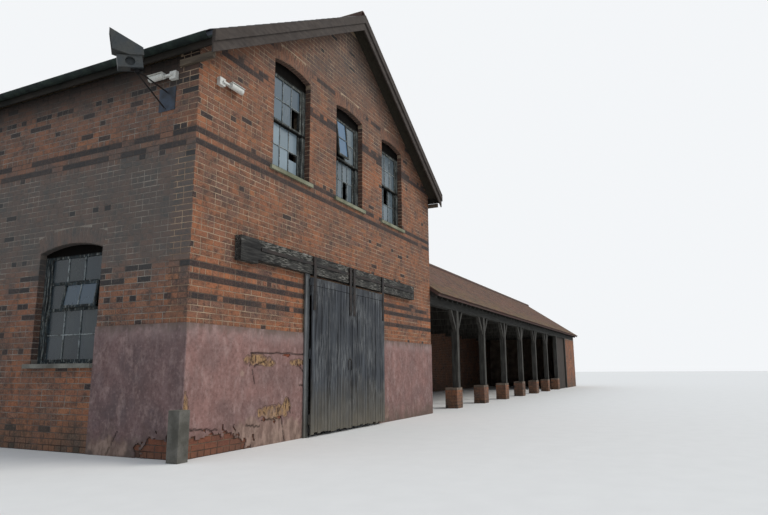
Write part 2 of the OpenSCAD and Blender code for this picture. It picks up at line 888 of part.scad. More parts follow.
// Places a drawing that stands on the lamp's foot plate, its wall end at x = 0, swung and tilted
module on_lamp_foot() {
  translate([-lamp_in, lamp_y, lamp_low]) rotate([0, 0, -lamp_turn]) rotate([0, -lamp_tilt, 0])
    translate([foot_l / 2, 0, foot_up]) children();
}

// Wall plate and two rods that meet in a round boss under the lamp's foot plate, all welded
module floodlight_bracket() {
  boss = [-lamp_in, lamp_low];
  wall_x = -lamp_plate_t / 2;
  high = lamp_plate_z + lamp_plate_h / 4;
  low = lamp_plate_z - lamp_plate_h / 2 + 2 * rod_r;
  color("slategray") placed() {
    translate([-lamp_plate_t, lamp_y - lamp_plate_w / 2, lamp_plate_z - lamp_plate_h / 2])
      cube([lamp_plate_t, lamp_plate_w, lamp_plate_h]);
    rod(boss, [wall_x, high], lamp_y - 2 * rod_r);
    rod(boss, [wall_x, low], lamp_y + 2 * rod_r);
    on_lamp_foot() {
      translate([-foot_l, -gear_w / 4, -foot_t]) cube([foot_l, gear_w / 2, foot_t]);
      translate([-foot_l / 2, 0, -foot_t - lug_h])
        cylinder(h = lug_h + foot_t / 2, r = lug_r, $fn = smooth);
    }
  }
}

// Side of the lamp's hood, wider at its open end, drawn in x and z and inset by g
module horn_outline(g) {
  x0 = horn_lap - horn_l;
  polygon([[x0 - 2 * g, gear_h + horn_lip_h + g], [-gear_l / 2, gear_h + g], [horn_lap - g, gear_h + g],
    [horn_lap - g, gear_h + horn_back_h - g], [x0 - 2 * g, gear_h + horn_h - g]]);
}

// Gear box with a round recess in its side, under a hood that is open at its far end
module floodlight() {
  color("darkslategray") placed() on_lamp_foot() {
    difference() {
      translate([-gear_l, -gear_w / 2, 0]) cube([gear_l, gear_w, gear_h]);
      along_y(-gear_w / 2 - 1, -gear_w / 2 + gear_hole_d) translate([-gear_l / 2, gear_h / 2])
        circle(gear_hole_r, $fn = smooth);
    }
    difference() {
      along_y(-horn_w / 2, horn_w / 2) horn_outline(0);
      along_y(horn_t - horn_w / 2, horn_w / 2 - horn_t) horn_outline(horn_t);
    }
  }
}

// Wall box, neck and round body of a camera, lying along x in front of the wall at y = 0
module camera() {
  axis = -camera_box_d - camera_r / 2;
  neck_x = camera_box + camera_neck;
  translate([0, -camera_box_d, -camera_box / 2]) cube([camera_box, camera_box_d, camera_box]);
  translate([camera_box / 2, axis, -camera_r / 3])
    cube([neck_x - camera_box / 2 + camera_r, camera_r, camera_r * 2 / 3]);
  along_x(neck_x, neck_x + camera_l) translate([axis, 0]) circle(camera_r, $fn = smooth);
  translate([neck_x, axis - camera_r, camera_r])
    cube([camera_l + camera_r / 2, 2 * camera_r, camera_r / 8]);
}

module cameras() {
  color("whitesmoke") placed() {
    translate([camera_x, 0, camera_z]) camera();
    translate([0, camera_y, camera_z]) mirror([1, -1, 0]) camera();
  }
}

module corner_guard_post() {
  color("olivedrab") placed()
    translate([-render_t - seat - guard_t, -render_t - guard_t + guard_lap, 0])
      cube([guard_t, guard_t, guard_h]);
}

range_x0 = body_w;
range_x1 = body_w + range_l;

module range_back_wall() {
  color("brown") placed() translate([range_x0, range_d - range_wall_t, 0])
    cube([range_l - range_wall_t, range_wall_t, range_plate_top]);
}

module range_gable_outline() {
  polygon([[0, 0], [range_d, 0], [range_d, range_under(range_d) - seat],
    [range_mid, range_under(range_mid) - seat], [0, range_under(0) - seat]]);
}

module range_end_wall() {
  color("brown") placed() along_x(range_x1 - range_wall_t, range_x1) range_gable_outline();
}

module range_end_front_wall() {
  x0 = post_x(post_count - 1) + post_w / 2;
  color("brown") placed() translate([x0, 0, 0])
    cube([range_x1 - range_wall_t - x0, range_wall_t, plate_z]);
}

// Boards that close the bay before the last post, notched over the last brick base
module range_end_boarding() {
  x0 = post_x(post_count - 2);
  x1 = post_x(post_count - 1) - post_w / 2;
  color("saddlebrown") placed() along_y(board_in, board_in + plank_t)
    polygon([[x0 + base_w / 2, 0], [x1, 0], [x1, plate_z], [x0 + post_w / 2, plate_z],
      [x0 + post_w / 2, base_h], [x0 + base_w / 2, base_h]]);
}

module range_post_bases() {
  color("brown") placed() for (i = [0:post_count - 2])
    translate([post_x(i) - base_w / 2, 0, 0]) cube([base_w, base_d, base_h]);
}

module range_posts() {
  color("dimgray") placed() for (i = [0:post_count - 1]) {
    foot = i < post_count - 1 ? base_h : 0;
    translate([post_x(i) - post_w / 2, 0, foot]) cube([post_w, post_w, plate_z - foot]);
  }
}

// Brace drawn in x and z, rising to the right from a post's face at x = 0
module brace_outline() {
  polygon([[0, plate_z - brace_drop], [0, plate_z - brace_drop + brace_w * 1.4],
    [brace_reach - brace_w * 1.2, plate_z], [brace_reach, plate_z]]);
}

module range_braces() {
  color("dimgray") placed() for (i = [0:post_count - 3], side = [0, 1])
    translate([post_x(i), 0, 0]) mirror([side, 0, 0])
      along_y(brace_in, brace_in + brace_w) translate([post_w / 2, 0]) brace_outline();
}

module range_front_plate() {
  color("dimgray") placed() translate([range_x0, 0, plate_z])
    cube([range_l - range_wall_t, range_plate_w, range_plate_h]);
}

// Tie beam, king post and principal rafters of one truss, drawn in y and z
module truss_outline() {
  y0 = range_plate_w;
  y1 = range_mid - principal_d / 2;
  foot = range_plate_top + seat;
  drop = range_rafter_v + seat;
  depth = range_rise * truss_toe;
  translate([y0, range_plate_top - tie_h]) square([range_d - range_wall_t - y0, tie_h]);
  translate([y1 + seat, foot]) square([principal_d - 2 * seat, range_under(y1) - drop - foot]);
  for (side = [0, 1]) translate([side * range_d, 0]) mirror([side, 0])
    polygon([[y0 + seat, foot], [truss_toe, foot], [y1, range_under(y1) - drop - depth],
      [y1, range_under(y1) - drop], [y0 + seat, range_under(y0 + seat) - drop]]);
}

module range_trusses() {
  color("dimgray") placed() for (i = [0:post_count - 1])
    along_x(post_x(i) - truss_t / 2, post_x(i) + truss_t / 2) truss_outline();
}

// Purlin drawn in y and z, half way up the front slope
module purlin_outline() {
  y0 = (range_mid - purlin_w) / 2;
  y1 = y0 + purlin_w;
  polygon([[y0, range_under(y0) - range_rafter_v], [y1, range_under(y1) - range_rafter_v],
    [y1, range_under(y1) - seat], [y0, range_under(y0) - seat]]);
}

module range_purlins() {
  ridge_top = range_under(range_mid - rafter_t / 2) - seat;
  color("dimgray") placed() along_x(range_x0, range_x1 - range_wall_t) {
    purlin_outline();
    translate([range_d, 0]) mirror([1, 0]) purlin_outline();
    translate([range_mid - rafter_t / 2, ridge_top - range_rafter_v])
      square([rafter_t, range_rafter_v - seat]);
  }
}

module range_roof_outline() {
  y0 = -range_over;
  polygon([[y0, range_under(y0)], [range_mid, range_ridge_z],
    [range_mid, range_ridge_z + range_cover_v], [y0, range_under(y0) + range_cover_v]]);
}

module range_roof_front() {
  color("brown") placed() along_x(range_x0, range_x1 + range_end_over) range_roof_outline();
}

module range_roof_back() {
  color("brown") placed() along_x(range_x0, range_x1 + range_end_over)
    translate([range_d, 0]) mirror([1, 0]) range_roof_outline();
}

module range_ridge_tiles() {
  color("brown") placed() along_x(range_x0, range_x1 + range_end_over)
    translate([range_mid, range_ridge_z + range_cover_v]) ridge_outline(range_rise);
}

front_wall_left();
front_wall_right();
front_wall_gable();
side_wall_left();
side_wall_right();
back_wall();
render_front_left();
render_front_right();
render_side();
first_floor_boards();
first_floor_joists();
wall_plates();
rafters();
ridge_board();
roof_left();
roof_right();
ridge_tiles();
bargeboards();
verge_soffits();
eaves_boards();
gutters();
gable_window_frames();
gable_window_glass();
gable_window_sills();
side_window_frames();
side_window_glass();
side_window_sills();
door_beam();
door_rail();
door_jamb_board();
door_leaf_left();
door_hangers_left();
door_leaf_right();
door_hangers_right();
floodlight();
floodlight_bracket();
cameras();
corner_guard_post();
range_back_wall();
range_end_wall();
range_end_front_wall();
range_end_boarding();
range_post_bases();
range_posts();
range_braces();
range_front_plate();
range_trusses();
range_purlins();
range_roof_front();
range_roof_back();
range_ridge_tiles();
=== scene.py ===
# Two-storey brick farm building with a gabled front and a long open-fronted range beside it.
import math

import bpy
import numpy as np
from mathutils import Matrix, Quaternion, Vector, noise


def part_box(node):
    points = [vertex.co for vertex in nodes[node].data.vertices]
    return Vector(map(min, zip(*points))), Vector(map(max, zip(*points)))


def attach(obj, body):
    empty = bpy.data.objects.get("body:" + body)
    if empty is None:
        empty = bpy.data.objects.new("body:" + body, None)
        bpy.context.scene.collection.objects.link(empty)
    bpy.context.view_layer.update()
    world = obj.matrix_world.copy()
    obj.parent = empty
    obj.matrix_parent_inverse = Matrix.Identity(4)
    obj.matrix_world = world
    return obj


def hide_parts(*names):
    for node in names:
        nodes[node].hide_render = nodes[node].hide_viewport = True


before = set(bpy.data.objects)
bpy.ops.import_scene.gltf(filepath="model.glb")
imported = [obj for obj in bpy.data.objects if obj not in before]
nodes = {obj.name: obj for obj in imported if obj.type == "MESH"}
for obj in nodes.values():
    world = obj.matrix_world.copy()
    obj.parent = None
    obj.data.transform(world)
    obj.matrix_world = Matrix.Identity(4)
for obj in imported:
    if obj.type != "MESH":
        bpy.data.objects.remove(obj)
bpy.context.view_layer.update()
bpy.ops.object.select_all(action="DESELECT")
bpy.context.scene.view_settings.view_transform = "Standard"

# The surfaces of an old farmyard building. Mortar, brick, timber and stone weather in the same
# few ways, so grain, stains, damp at the foot, moss and the figure of wood are shared groups.


def colour_of(paint):
    """The shader's colour for a paint given as three numbers from 0 to 255."""
    parts = [value / 255 for value in paint]
    return tuple(p / 12.92 if p < 0.04045 else ((p + 0.055) / 1.055) ** 2.4 for p in parts) + (1.0,)


def node(tree, kind, *inputs, **named):
    """Adds a shader node. A small letter starts a setting's name and a capital an input's."""
    made = tree.nodes.new("ShaderNode" + kind)
    for key, value in named.items():
        if key[0].islower():
            setattr(made, key, value)
    sockets = list(zip(made.inputs, inputs))
    sockets += [(made.inputs[k.replace("_", " ")], v) for k, v in named.items() if k[0].isupper()]
    for socket, value in sockets:
        if isinstance(value, bpy.types.NodeSocket):
            tree.links.new(value, socket)
        elif value is not None:
            socket.default_value = value
    return made


def mixed(tree, first, second, mask):
    """Two colours, each a paint or a socket, mixed by a mask."""
    made = node(tree, "Mix", data_type="RGBA", clamp_result=True)
    for socket, value in ((made.inputs[0], mask), (made.inputs[6], first), (made.inputs[7], second)):
        if isinstance(value, bpy.types.NodeSocket):
            tree.links.new(value, socket)
        else:
            socket.default_value = value if socket == made.inputs[0] else colour_of(value)
    return made.outputs[2]


def maths(tree, way, *inputs):
    return node(tree, "Math", *inputs, operation=way, use_clamp=way in ("ADD", "MULTIPLY_ADD")).outputs[0]


def levels(tree, value, stops):
    """A ramp of numbers or paints over a value."""
    made = node(tree, "ValToRGB", value)
    ramp = made.color_ramp
    while len(ramp.elements) < len(stops):
        ramp.elements.new(0.5)
    for element, (position, level) in zip(ramp.elements, stops):
        element.position = position
        element.color = colour_of(level) if isinstance(level, tuple) else (level, level, level, 1.0)
    return made.outputs[0]


def rising(tree, value, low, high):
    """A mask that goes from 0 at the low value to 1 at the high one, whichever of them is larger."""
    return levels(tree, value, sorted([(low, 0.0), (high, 1.0)]))


def between(tree, value, low, high, most=1.0):
    """A mask in a straight line from 0 at the low value to its most at the high one."""
    return node(tree, "MapRange", value, low, high, 0.0, most).outputs[0]


def stained(tree, under, paint, mask, share):
    """A paint over a colour, by a share of a mask."""
    return mixed(tree, under, paint, maths(tree, "MULTIPLY", mask, share))


def object_place(tree):
    return node(tree, "TexCoord").outputs["Object"]


def object_height(tree):
    return node(tree, "SeparateXYZ", object_place(tree)).outputs["Z"]


def piece_tone(tree):
    """The three random or painted values that a piece's points carry."""
    tone = node(tree, "Attribute", attribute_name="tone")
    return node(tree, "SeparateColor", tone.outputs["Color"]).outputs


def new_group(name, inputs, outputs):
    """A shader group with its named sockets; gives the group, its inputs and its outputs."""
    tree = bpy.data.node_groups.new(name, "ShaderNodeTree")
    for title, kind, value in inputs:
        socket = tree.interface.new_socket(title, in_out="INPUT", socket_type="NodeSocket" + kind)
        socket.default_value = value
    for title, kind in outputs:
        tree.interface.new_socket(title, in_out="OUTPUT", socket_type="NodeSocket" + kind)
    start = tree.nodes.new("NodeGroupInput")
    end = tree.nodes.new("NodeGroupOutput")
    return tree, start.outputs, end.inputs


def grain_group():
    """Fine and coarse unevenness, stretched along any axis."""
    tree, start, end = new_group(
        "surface grain",
        [("Stretch", "Vector", (1.0, 1.0, 1.0)), ("Scale", "Float", 40.0), ("Patch scale", "Float", 3.0)],
        [("Fine", "Float"), ("Patches", "Float"), ("Height", "Float")])
    spot = object_place(tree)
    spread = node(tree, "Mapping", spot, Scale=start["Stretch"]).outputs[0]
    fine = node(tree, "TexNoise", spread, Scale=start["Scale"], Detail=5.0, Roughness=0.65).outputs[0]
    coarse = node(tree, "TexNoise", spread, Scale=start["Patch scale"], Detail=3.0).outputs[0]
    tree.links.new(fine, end["Fine"])
    tree.links.new(rising(tree, coarse, 0.36, 0.66), end["Patches"])
    both = maths(tree, "MULTIPLY_ADD", fine, 0.7, maths(tree, "MULTIPLY", coarse, 0.3))
    tree.links.new(both, end["Height"])
    return tree


def foot_group():
    """Mask of the damp and splashed foot of a wall, ragged at its top edge."""
    tree, start, end = new_group("damp foot", [("Top", "Float", 0.5)], [("Mask", "Float")])
    spot = object_place(tree)
    height = node(tree, "SeparateXYZ", spot).outputs["Z"]
    ragged = node(tree, "TexNoise", spot, Scale=4.0, Detail=4.0).outputs[0]
    raised = maths(tree, "ADD", height, maths(tree, "MULTIPLY", maths(tree, "SUBTRACT", 0.5, ragged), 0.7))
    made = node(tree, "MapRange", raised, 0.0, start["Top"], 1.0, 0.0)
    tree.links.new(made.outputs[0], end["Mask"])
    return tree


def moss_group():
    """Mask of moss and lichen on faces that look up."""
    tree, start, end = new_group("moss cover", [("Amount", "Float", 0.5)], [("Mask", "Float")])
    spot = object_place(tree)
    up = node(tree, "SeparateXYZ", node(tree, "NewGeometry").outputs["Normal"]).outputs["Z"]
    clumps = node(tree, "TexNoise", spot, Scale=6.0, Detail=7.0, Roughness=0.7).outputs[0]
    grown = maths(tree, "MULTIPLY", rising(tree, clumps, 0.42, 0.62), between(tree, up, 0.1, 0.8))
    tree.links.new(maths(tree, "MULTIPLY", grown, start["Amount"]), end["Mask"])
    return tree


def wood_group():
    """Figure of weathered wood: pale and dark streaks along the grain, with fine open cracks."""
    tree, start, end = new_group(
        "wood figure", [("Stretch", "Vector", (30.0, 30.0, 1.5))],
        [("Streaks", "Float"), ("Cracks", "Float"), ("Height", "Float")])
    spot = object_place(tree)
    spread = node(tree, "Mapping", spot, Scale=start["Stretch"]).outputs[0]
    streaks = node(tree, "TexNoise", spread, Scale=1.0, Detail=6.0, Roughness=0.62,
                   Distortion=0.25).outputs[0]
    fine = node(tree, "TexNoise", spread, Scale=2.6, Detail=4.0, Roughness=0.7).outputs[0]
    cracks = rising(tree, fine, 0.36, 0.28)
    tree.links.new(rising(tree, streaks, 0.3, 0.7), end["Streaks"])
    tree.links.new(cracks, end["Cracks"])
    tree.links.new(maths(tree, "SUBTRACT", streaks, maths(tree, "MULTIPLY", cracks, 0.8)), end["Height"])
    return tree


surface_grain = grain_group()
damp_foot = foot_group()
moss_cover = moss_group()
wood_figure = wood_group()


def new_finish(name, roughness, gloss=0.15):
    """A material with its shader, which takes its colour and relief from links. Old rough surfaces
    hardly shine, so their gloss is low."""
    made = bpy.data.materials.new(name)
    made.use_nodes = True
    shader = made.node_tree.nodes["Principled BSDF"]
    shader.inputs["Roughness"].default_value = roughness
    shader.inputs["Specular IOR Level"].default_value = gloss
    return made, made.node_tree, shader


def relief(tree, shader, height, depth):
    """Bumps of the given depth in metres."""
    made = node(tree, "Bump", Height=height, Distance=depth, Strength=1.0)
    tree.links.new(made.outputs[0], shader.inputs["Normal"])


def finished(made, tree, shader, colour, height, depth):
    """Gives a material its colour and its relief."""
    tree.links.new(colour, shader.inputs["Base Color"])
    relief(tree, shader, height, depth)
    return made


def grain_at(tree, scale, patch_scale=3.0, stretch=(1.0, 1.0, 1.0)):
    return node(tree, "Group", node_tree=surface_grain, Stretch=stretch, Scale=scale,
                Patch_scale=patch_scale).outputs


def wood_at(tree, stretch):
    return node(tree, "Group", node_tree=wood_figure, Stretch=stretch).outputs


def damp_below(tree, top):
    return node(tree, "Group", node_tree=damp_foot, Top=top).outputs[0]


def moss_at(tree, amount):
    return node(tree, "Group", node_tree=moss_cover, Amount=amount).outputs[0]


def dress(finish, *names):
    """Gives CAD nodes their finish."""
    for name in names:
        for slot in nodes[name].material_slots:
            slot.material = finish


# Brick walls. Hand-made red bricks are laid in lime mortar, three courses of stretchers to one of
# headers, with courses of blue bricks as bands, and their faces stand a little proud of the joints.
COURSE = 0.0805
JOINT = 0.0105
BRICK = Vector((0.2275, 0.011, COURSE - JOINT))
PROUD = 0.0035
ARRIS = 0.003
CHEEK = 0.001
HEADER_EVERY = 4
SHORTEST = 0.055
UNEVEN = 0.0009
STRAY_HEADERS, STRAY_STRETCHERS = 0.05, 0.015
EDGE_LAP, SILL_LAP = 0.012, 0.03
SOOT_TOP = 8.0
BLUE_COURSES = {24: 0.93, 27: 0.95, 29: 0.9, 49: 0.97, 51: 0.97, 67: 0.9, 68: 0.5, 76: 0.85}
front_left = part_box("front_wall_left")[0]
wall_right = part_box("side_wall_right")[1].x
wall_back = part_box("back_wall")[1].y
WALL_L, WALL_F = front_left.x, front_left.y
FRONT_W = wall_right - WALL_L
SIDE_L = wall_back - WALL_F
X, Y, Z = Vector((1, 0, 0)), Vector((0, 1, 0)), Vector((0, 0, 1))


def mortar_finish(name, joint, shade, bands=(), eaves=None):
    """Lime mortar with grit in it, darker in patches, near the ground and beside blue courses. Under
    the eaves it is darkened to near-black as painted shadow."""
    made, tree, shader = new_finish(name, 0.95)
    grain = grain_at(tree, 90.0)
    toned = mixed(tree, joint, shade, grain["Patches"])
    toned = stained(tree, toned, (74, 66, 58), rising(tree, grain["Fine"], 0.5, 0.34), 0.7)
    height = object_height(tree)
    for course in bands:
        near = maths(tree, "COMPARE", height, (course + 0.5) * COURSE, COURSE * 0.58)
        toned = stained(tree, toned, (72, 62, 58), near, 0.8)
    # Painted shadow: darkening from 0.6 m below the wall head to near-black 0.1 m below it.
    if eaves:
        toned = mixed(tree, toned, (26, 23, 21), between(tree, height, eaves - 0.6, eaves - 0.1, 0.9))
    toned = mixed(tree, toned, (58, 44, 38), damp_below(tree, 0.6))
    return finished(made, tree, shader, toned, grain["Height"], 0.004)


def brick_finish(name, soot_and_shade_stops, grime_and_shade=(88, 82, 78), eaves=None):
    """Fired clay from orange to purple by each brick's own tone, blue where it is a blue brick.
    Soot greys the outer walls by height, given as stops from the ground to 8 m up; on the range's
    inner face the same stops darken the brick with dust and painted shade. Under the eaves the wall
    is darkened to near-black as painted shadow."""
    made, tree, shader = new_finish(name, 0.88)
    tone = piece_tone(tree)
    spot = object_place(tree)
    grain = grain_at(tree, 55.0, 1.1)
    clay = levels(tree, tone["Red"], [
        (0.0, (98, 70, 58)), (0.25, (122, 82, 64)), (0.5, (134, 86, 62)),
        (0.76, (146, 90, 62)), (0.9, (126, 92, 78)), (1.0, (168, 108, 68))])
    clay = mixed(tree, clay, (100, 76, 72), levels(tree, tone["Green"], [(0.5, 0.0), (0.9, 0.55)]))
    clay = mixed(tree, clay, (44, 42, 45), tone["Blue"])
    clay = stained(tree, clay, (172, 134, 106), rising(tree, grain["Fine"], 0.52, 0.64), 0.6)
    clay = stained(tree, clay, (42, 34, 31), rising(tree, grain["Fine"], 0.48, 0.36), 0.85)
    clay = stained(tree, clay, (78, 68, 62), grain["Patches"], 0.42)
    burnt = grain_at(tree, 9.0, 2.6)
    red = maths(tree, "SUBTRACT", 1.0, tone["Blue"])
    clay = stained(tree, clay, (186, 112, 66), maths(tree, "MULTIPLY", burnt["Patches"], red), 0.42)
    clay = stained(tree, clay, (52, 43, 40), rising(tree, burnt["Fine"], 0.5, 0.38), 0.6)
    level = node(tree, "SeparateXYZ", spot).outputs["Z"]
    ragged = node(tree, "TexNoise", spot, Scale=2.2, Detail=5.0).outputs[0]
    ragged = maths(tree, "MULTIPLY", maths(tree, "SUBTRACT", ragged, 0.5), 0.06)
    uneven = maths(tree, "ADD", maths(tree, "MULTIPLY", level, 1 / SOOT_TOP), ragged)
    clay = mixed(tree, clay, grime_and_shade, levels(tree, uneven, soot_and_shade_stops))
    clay = stained(tree, clay, (40, 38, 41), tone["Blue"], 0.55)
    clay = stained(tree, clay, (84, 78, 66), damp_below(tree, 0.55), 0.5)
    # Painted shadow: darkening from 0.55 m below the wall head to near-black 0.1 m below it.
    if eaves:
        clay = mixed(tree, clay, (26, 23, 21), between(tree, level, eaves - 0.55, eaves - 0.1, 0.85))
    return finished(made, tree, shader, clay, grain["Height"], 0.005)


def cube(size, middle=(0, 0, 0)):
    """A box that still needs its edges worked."""
    bpy.ops.mesh.primitive_cube_add(size=1, location=middle, scale=size)
    bpy.ops.object.transform_apply()
    return bpy.context.object


def choose(made, kind, test):
    """Starts editing a piece with only those faces or edges chosen that pass the test."""
    bpy.ops.object.mode_set(mode="EDIT")
    bpy.ops.mesh.select_mode(type=kind)
    bpy.ops.mesh.select_all(action="DESELECT")
    bpy.ops.object.mode_set(mode="OBJECT")
    for part in made.data.polygons if kind == "FACE" else made.data.edges:
        part.select = test(part)
    bpy.ops.object.mode_set(mode="EDIT")


def soften(offset):
    """Takes off every edge of the piece at hand."""
    bpy.ops.object.mode_set(mode="EDIT")
    bpy.ops.mesh.select_all(action="SELECT")
    bpy.ops.mesh.bevel(offset=offset, segments=1, affect="EDGES")
    bpy.ops.object.mode_set(mode="OBJECT")


def thicken(made, thickness, offset):
    """Gives a sheet its thickness."""
    wall = made.modifiers.new("thickness", "SOLIDIFY")
    wall.thickness = thickness
    wall.offset = offset
    bpy.ops.object.modifier_apply(modifier="thickness")


def model_brick():
    """One stretcher lying along X with its face towards -Y, its arrises worn off."""
    made = cube(BRICK - Vector((0, ARRIS, 0)))
    choose(made, "FACE", lambda face: face.normal.y < -0.9)
    bpy.ops.mesh.inset(thickness=ARRIS, depth=ARRIS)
    bpy.ops.object.mode_set(mode="OBJECT")
    made.data.transform(made.matrix_world.Translation(Vector((0, BRICK.y / 2 + ARRIS / 2 - PROUD, 0))))
    return made


def place(middle, along, front):
    """Where a copy goes: its X along a direction, its face, which was -Y, to the front."""
    up = front.cross(along)
    return [[along[i], -front[i], up[i], middle[i]] for i in range(3)]


def copies(name, model, places, stretches=None, tones=None):
    """One mesh made of a copy of the model at each place, each lengthened by its stretch along X."""
    source = model.data
    count = len(source.vertices)
    shape = np.array([v.co for v in source.vertices])
    places = np.array(places, float)
    shapes = np.repeat(shape[None], len(places), axis=0)
    if stretches is not None:
        shapes[:, :, 0] += np.sign(shape[:, 0]) * np.array(stretches)[:, None] / 2
    points = np.einsum("nij,nkj->nki", places[:, :, :3], shapes) + places[:, None, :, 3]
    faces = [tuple(face.vertices) for face in source.polygons]
    mesh = bpy.data.meshes.new(name)
    mesh.from_pydata(points.reshape(-1, 3), [], [
        tuple(corner + i * count for corner in face) for i in range(len(places)) for face in faces])
    if tones is not None:
        layer = mesh.attributes.new("tone", "FLOAT_COLOR", "POINT")
        layer.data.foreach_set("color", np.repeat(np.array(tones, float), count, axis=0).ravel())
    made = bpy.data.objects.new(name, mesh)
    bpy.context.scene.collection.objects.link(made)
    return made


def settle(piece, body, finish, instead_of=()):
    """Gives a finished piece its material, the body it rides on and the node it stands for."""
    piece.data.materials.clear()
    piece.data.materials.append(finish)
    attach(piece, body)
    if instead_of:
        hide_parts(*instead_of)
    return piece


def square_gap(start, end, low, high):
    """Gap in the courses where a doorway or a coat of render is."""
    return lambda under, over: (start, end) if low < over - EDGE_LAP < high else None


def arched_gap(middle, half, sill, spring, rise, ring):
    """Gap where an arched window and the ring of bricks over it are."""
    radius = (half * half + rise * rise) / (2 * rise)
    centre = spring + rise - radius
    slope = half / (radius - rise)
    skew_top = centre + (radius + ring) * math.cos(math.atan(slope))

    def gap(under, over):
        level = (under + over) / 2
        if over < sill + SILL_LAP or level > centre + radius + ring:
            return None
        reach = half
        if level > skew_top:
            reach = math.sqrt((radius + ring) ** 2 - (level - centre) ** 2)
        elif level > spring:
            reach = half + (level - spring) * slope
        return middle - reach, middle + reach
    return gap


def free_spans(start, end, gaps, under, over):
    """What is left of a course between its ends once the gaps are taken out."""
    spans = [(start, end)]
    for gap in gaps:
        hole = gap(under, over)
        if hole:
            spans = [piece for a, b in spans for piece in ((a, min(b, hole[0])), (max(a, hole[1]), b))
                     if piece[1] - piece[0] > SHORTEST / 2]
    return spans


def lay_wall(origin, along, front, ends, courses, gaps=(), blue=None, seed=1):
    """Places, stretches and tones of the bricks of a wall, course by course."""
    chance = np.random.default_rng(seed)
    places, stretches, tones = [], [], []
    for course in range(*courses):
        under = course * COURSE
        headers = course % HEADER_EVERY == 0
        step = (BRICK.x + JOINT) / (2 if headers else 1)
        shift = step / 2 if headers else step / 2 * (course % 2) + step / 4
        start, end = ends(under)
        for a, b in free_spans(start, end, gaps, under, under + COURSE):
            first = math.ceil((a + SHORTEST - shift) / step)
            last = math.floor((b - SHORTEST - shift) / step)
            cuts = [a - JOINT / 2] + [shift + step * i for i in range(first, last + 1)] + [b + JOINT / 2]
            for left, right in zip(cuts, cuts[1:]):
                middle = origin + along * ((left + right) / 2) + Z * (under + COURSE / 2)
                middle += front * min(0.0008, chance.normal(0, UNEVEN))
                places.append(place(middle, along, front))
                stretches.append(right - left - JOINT - BRICK.x)
                stray = STRAY_HEADERS if headers else STRAY_STRETCHERS
                is_blue = chance.random() < (blue or {}).get(course, stray)
                tones.append((chance.random(), chance.random(), chance.uniform(0.75, 1) if is_blue else 0, 1))
    return places, stretches, tones


def lay_reveal(origin, along, front, middle, half, low, high, depth, seed):
    """Bricks that show in the two cheeks of an opening."""
    chance = np.random.default_rng(seed)
    places, stretches, tones = [], [], []
    for course in range(math.ceil(low / COURSE), math.floor(high / COURSE)):
        for side in (-1, 1):
            spot = origin + along * (middle + side * (half + CHEEK)) - front * (depth / 2)
            spot += Z * (course + 0.5) * COURSE
            places.append(place(spot, front * side, along * -side))
            stretches.append(depth - BRICK.x)
            tones.append((chance.random(), chance.random(), 0.5, 1))
    return places, stretches, tones


def lay_arch(origin, along, front, middle, half, spring, rise, ring, seed):
    """Bricks of a segmental ring: one set on end in the face and one in the soffit, all the way round."""
    chance = np.random.default_rng(seed)
    radius = (half * half + rise * rise) / (2 * rise)
    centre = origin + along * middle + Z * (spring + rise - radius)
    sweep = math.asin(half / radius)
    number = round(2 * sweep * radius / (BRICK.z + 0.004))
    places, stretches, tones = [], [], []
    for i in range(number):
        turn = sweep * (2 * (i + 0.5) / number - 1)
        out = along * math.sin(turn) + Z * math.cos(turn)
        spot = centre + out * (radius + ring / 2)
        places.append(place(spot, out, front))
        stretches.append(ring - JOINT - BRICK.x)
        tone = (chance.random(), chance.random() * 0.6, 0, 1)
        tones.append(tone)
        soffit = centre + out * (radius + CHEEK) - front * (REVEAL / 2)
        places.append(place(soffit, front, -out))
        stretches.append(REVEAL - BRICK.x)
        tones.append(tone[:2] + (0.5, 1))
    return places, stretches, tones


def gather(*layings):
    """Puts several layings together."""
    return [sum((list(laying[i]) for laying in layings), []) for i in range(3)]


# The outer walls of the main building, with their arches and the cheeks of their openings. Soot and
# weather have greyed the long side far more than the gable.
gable_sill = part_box("gable_window_sills")[1].z
side_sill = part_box("side_window_sills")[1].z
GABLE_HALF, SIDE_HALF = 0.525, 0.640
GABLE_RISE, SIDE_RISE = 0.070, 0.100
GABLE_TALL, SIDE_TALL = 1.80, 1.57
GABLE_SPRING, SIDE_SPRING = gable_sill + GABLE_TALL, side_sill + SIDE_TALL
GABLE_RING, SIDE_RING = 0.250, 0.232
REVEAL = 0.100
WALL_T = 0.34
GABLE_STEP, SIDE_STEP, SIDE_FIRST = 1.955, 3.8, 2.205
GABLE_MIDDLES = [FRONT_W / 2 + GABLE_STEP * i for i in (-1, 0, 1)]
SIDE_MIDDLES = [SIDE_FIRST + SIDE_STEP * i for i in (0, 1, 2)]
soffit_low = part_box("verge_soffits")[0]
roof_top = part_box("roof_left")
COVER_UPRIGHT = 0.0704
ROOF_SLOPE = (roof_top[1].z - roof_top[0].z - COVER_UPRIGHT) / (roof_top[1].x - roof_top[0].x)
wall_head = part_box("side_wall_left")[1].z
render_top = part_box("render_front_left")[1].z
doorway_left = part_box("front_wall_left")[1].x - WALL_L
doorway_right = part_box("front_wall_right")[0].x - WALL_L
doorway_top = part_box("front_wall_gable")[0].z
render_side_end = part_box("render_side")[1].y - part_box("render_side")[0].y
CORNER = PROUD - 0.0005
JAMB_W = 0.12


def gable_ends(under):
    """Ends of a course of a gable wall, between the slopes of the roof above the eaves."""
    soffit_at_face = soffit_low.z + ROOF_SLOPE * (WALL_L - soffit_low.x)
    back = max(0.0, (under - soffit_at_face) / ROOF_SLOPE)
    if back == 0:
        return -CORNER, FRONT_W + CORNER
    return back, FRONT_W - back


